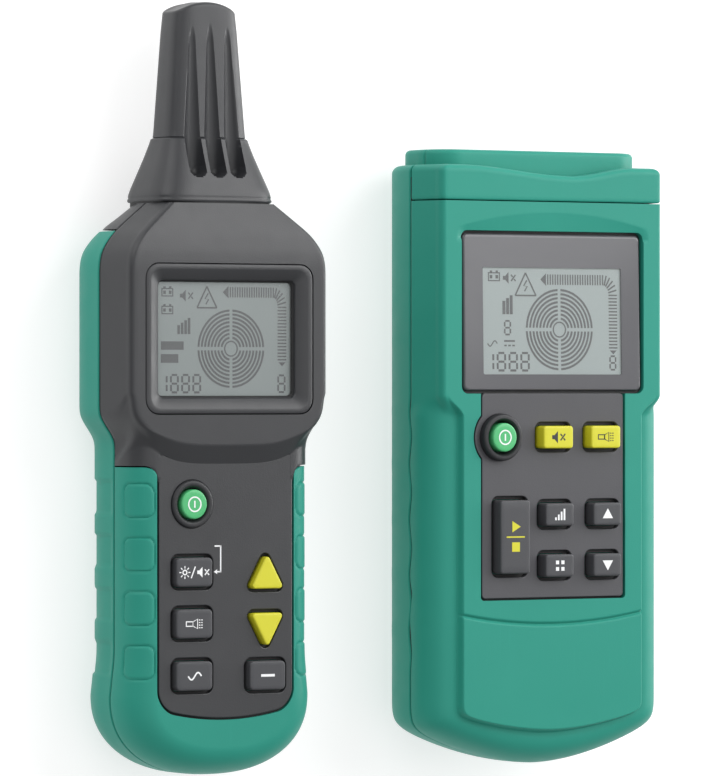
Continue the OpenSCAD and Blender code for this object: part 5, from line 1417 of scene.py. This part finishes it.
class LOCATOR_OT_stage(bpy.types.Operator):
    """Pale floor, soft studio light and the camera"""
    bl_idname = "locator.stage"
    bl_label = "Floor, light and camera"

    def execute(self, context):
        scene = context.scene
        scene.view_settings.view_transform = "Standard"
        world = bpy.data.worlds.new("Studio")
        world.use_nodes = True
        set_inputs(world.node_tree.nodes["Background"], {"Color": (1, 1, 1, 1), "Strength": WORLD_LIGHT})
        scene.world = world
        mesh = bpy.data.meshes.new("floor")
        mesh.from_pydata([(-6, -6, 0), (6, -6, 0), (6, 6, 0), (-6, 6, 0)], [], [(0, 1, 2, 3)])
        floor = bpy.data.objects.new("floor", mesh)
        floor.location.z = FLOOR_Z
        scene.collection.objects.link(floor)
        pale = finish("floor")
        set_inputs(pale.node_tree.nodes["Principled BSDF"],
                   {"Emission Color": (1, 1, 1, 1), "Emission Strength": FLOOR_GLOW})
        mesh.materials.append(pale)
        for name, values in LAMPS.items():
            lamp(name, *values)
        look = Vector((math.sin(CAMERA_YAW), 0, -math.cos(CAMERA_YAW)))
        right = Vector((math.cos(CAMERA_YAW), 0, math.sin(CAMERA_YAW)))
        up = right.cross(look)
        camera = bpy.data.objects.new("camera", bpy.data.cameras.new("camera"))
        scene.collection.objects.link(camera)
        turn = Matrix((right, up, -look)).transposed().to_4x4()
        camera.matrix_world = Matrix.Translation(CAMERA_TARGET - look * CAMERA_DISTANCE) @ turn
        camera.data.sensor_width = SENSOR
        camera.data.lens = SENSOR * FOCAL_PIXELS / PICTURE_HEIGHT
        camera.data.clip_end = 20.0
        scene.camera = camera
        return {"FINISHED"}


def lamp(name, place, target, size, power):
    """Square soft light aimed at a point."""
    light = bpy.data.lights.new(name, "AREA")
    light.size = size
    light.energy = power
    lamp_object = bpy.data.objects.new(name, light)
    bpy.context.scene.collection.objects.link(lamp_object)
    lamp_object.location = place
    lamp_object.rotation_euler = (Vector(target) - Vector(place)).to_track_quat("-Z", "Y").to_euler()


OPERATORS = (
    LOCATOR_OT_receiver_back, LOCATOR_OT_receiver_front, LOCATOR_OT_receiver_nose, LOCATOR_OT_receiver_display,
    LOCATOR_OT_receiver_keys, LOCATOR_OT_transmitter_back, LOCATOR_OT_transmitter_front,
    LOCATOR_OT_transmitter_top, LOCATOR_OT_transmitter_display, LOCATOR_OT_transmitter_keys,
    LOCATOR_OT_inner_finishes, LOCATOR_OT_stage,
)


class LOCATOR_PT_sidebar(bpy.types.Panel):
    """Lists the steps that dress the set"""
    bl_idname = "LOCATOR_PT_sidebar"
    bl_label = "Cable locator set"
    bl_space_type = "VIEW_3D"
    bl_region_type = "UI"
    bl_category = "Locator"

    def draw(self, context):
        for group in (context.scene.locator_sizes, context.scene.locator_colours):
            for name in group.__annotations__:
                self.layout.prop(group, name)
        for operator in OPERATORS:
            self.layout.operator(operator.bl_idname)


CLASSES = (LocatorColours, LocatorSizes, *OPERATORS, LOCATOR_PT_sidebar)


def register():
    for kind in CLASSES:
        bpy.utils.register_class(kind)
    bpy.types.Scene.locator_colours = bpy.props.PointerProperty(type=LocatorColours)
    bpy.types.Scene.locator_sizes = bpy.props.PointerProperty(type=LocatorSizes)


def unregister():
    del bpy.types.Scene.locator_sizes
    del bpy.types.Scene.locator_colours
    for kind in reversed(CLASSES):
        bpy.utils.unregister_class(kind)


def main():
    register()
    for operator in OPERATORS:
        group, name = operator.bl_idname.split(".")
        getattr(getattr(bpy.ops, group), name)()
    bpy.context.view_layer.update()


if __name__ == "__main__":
    main()
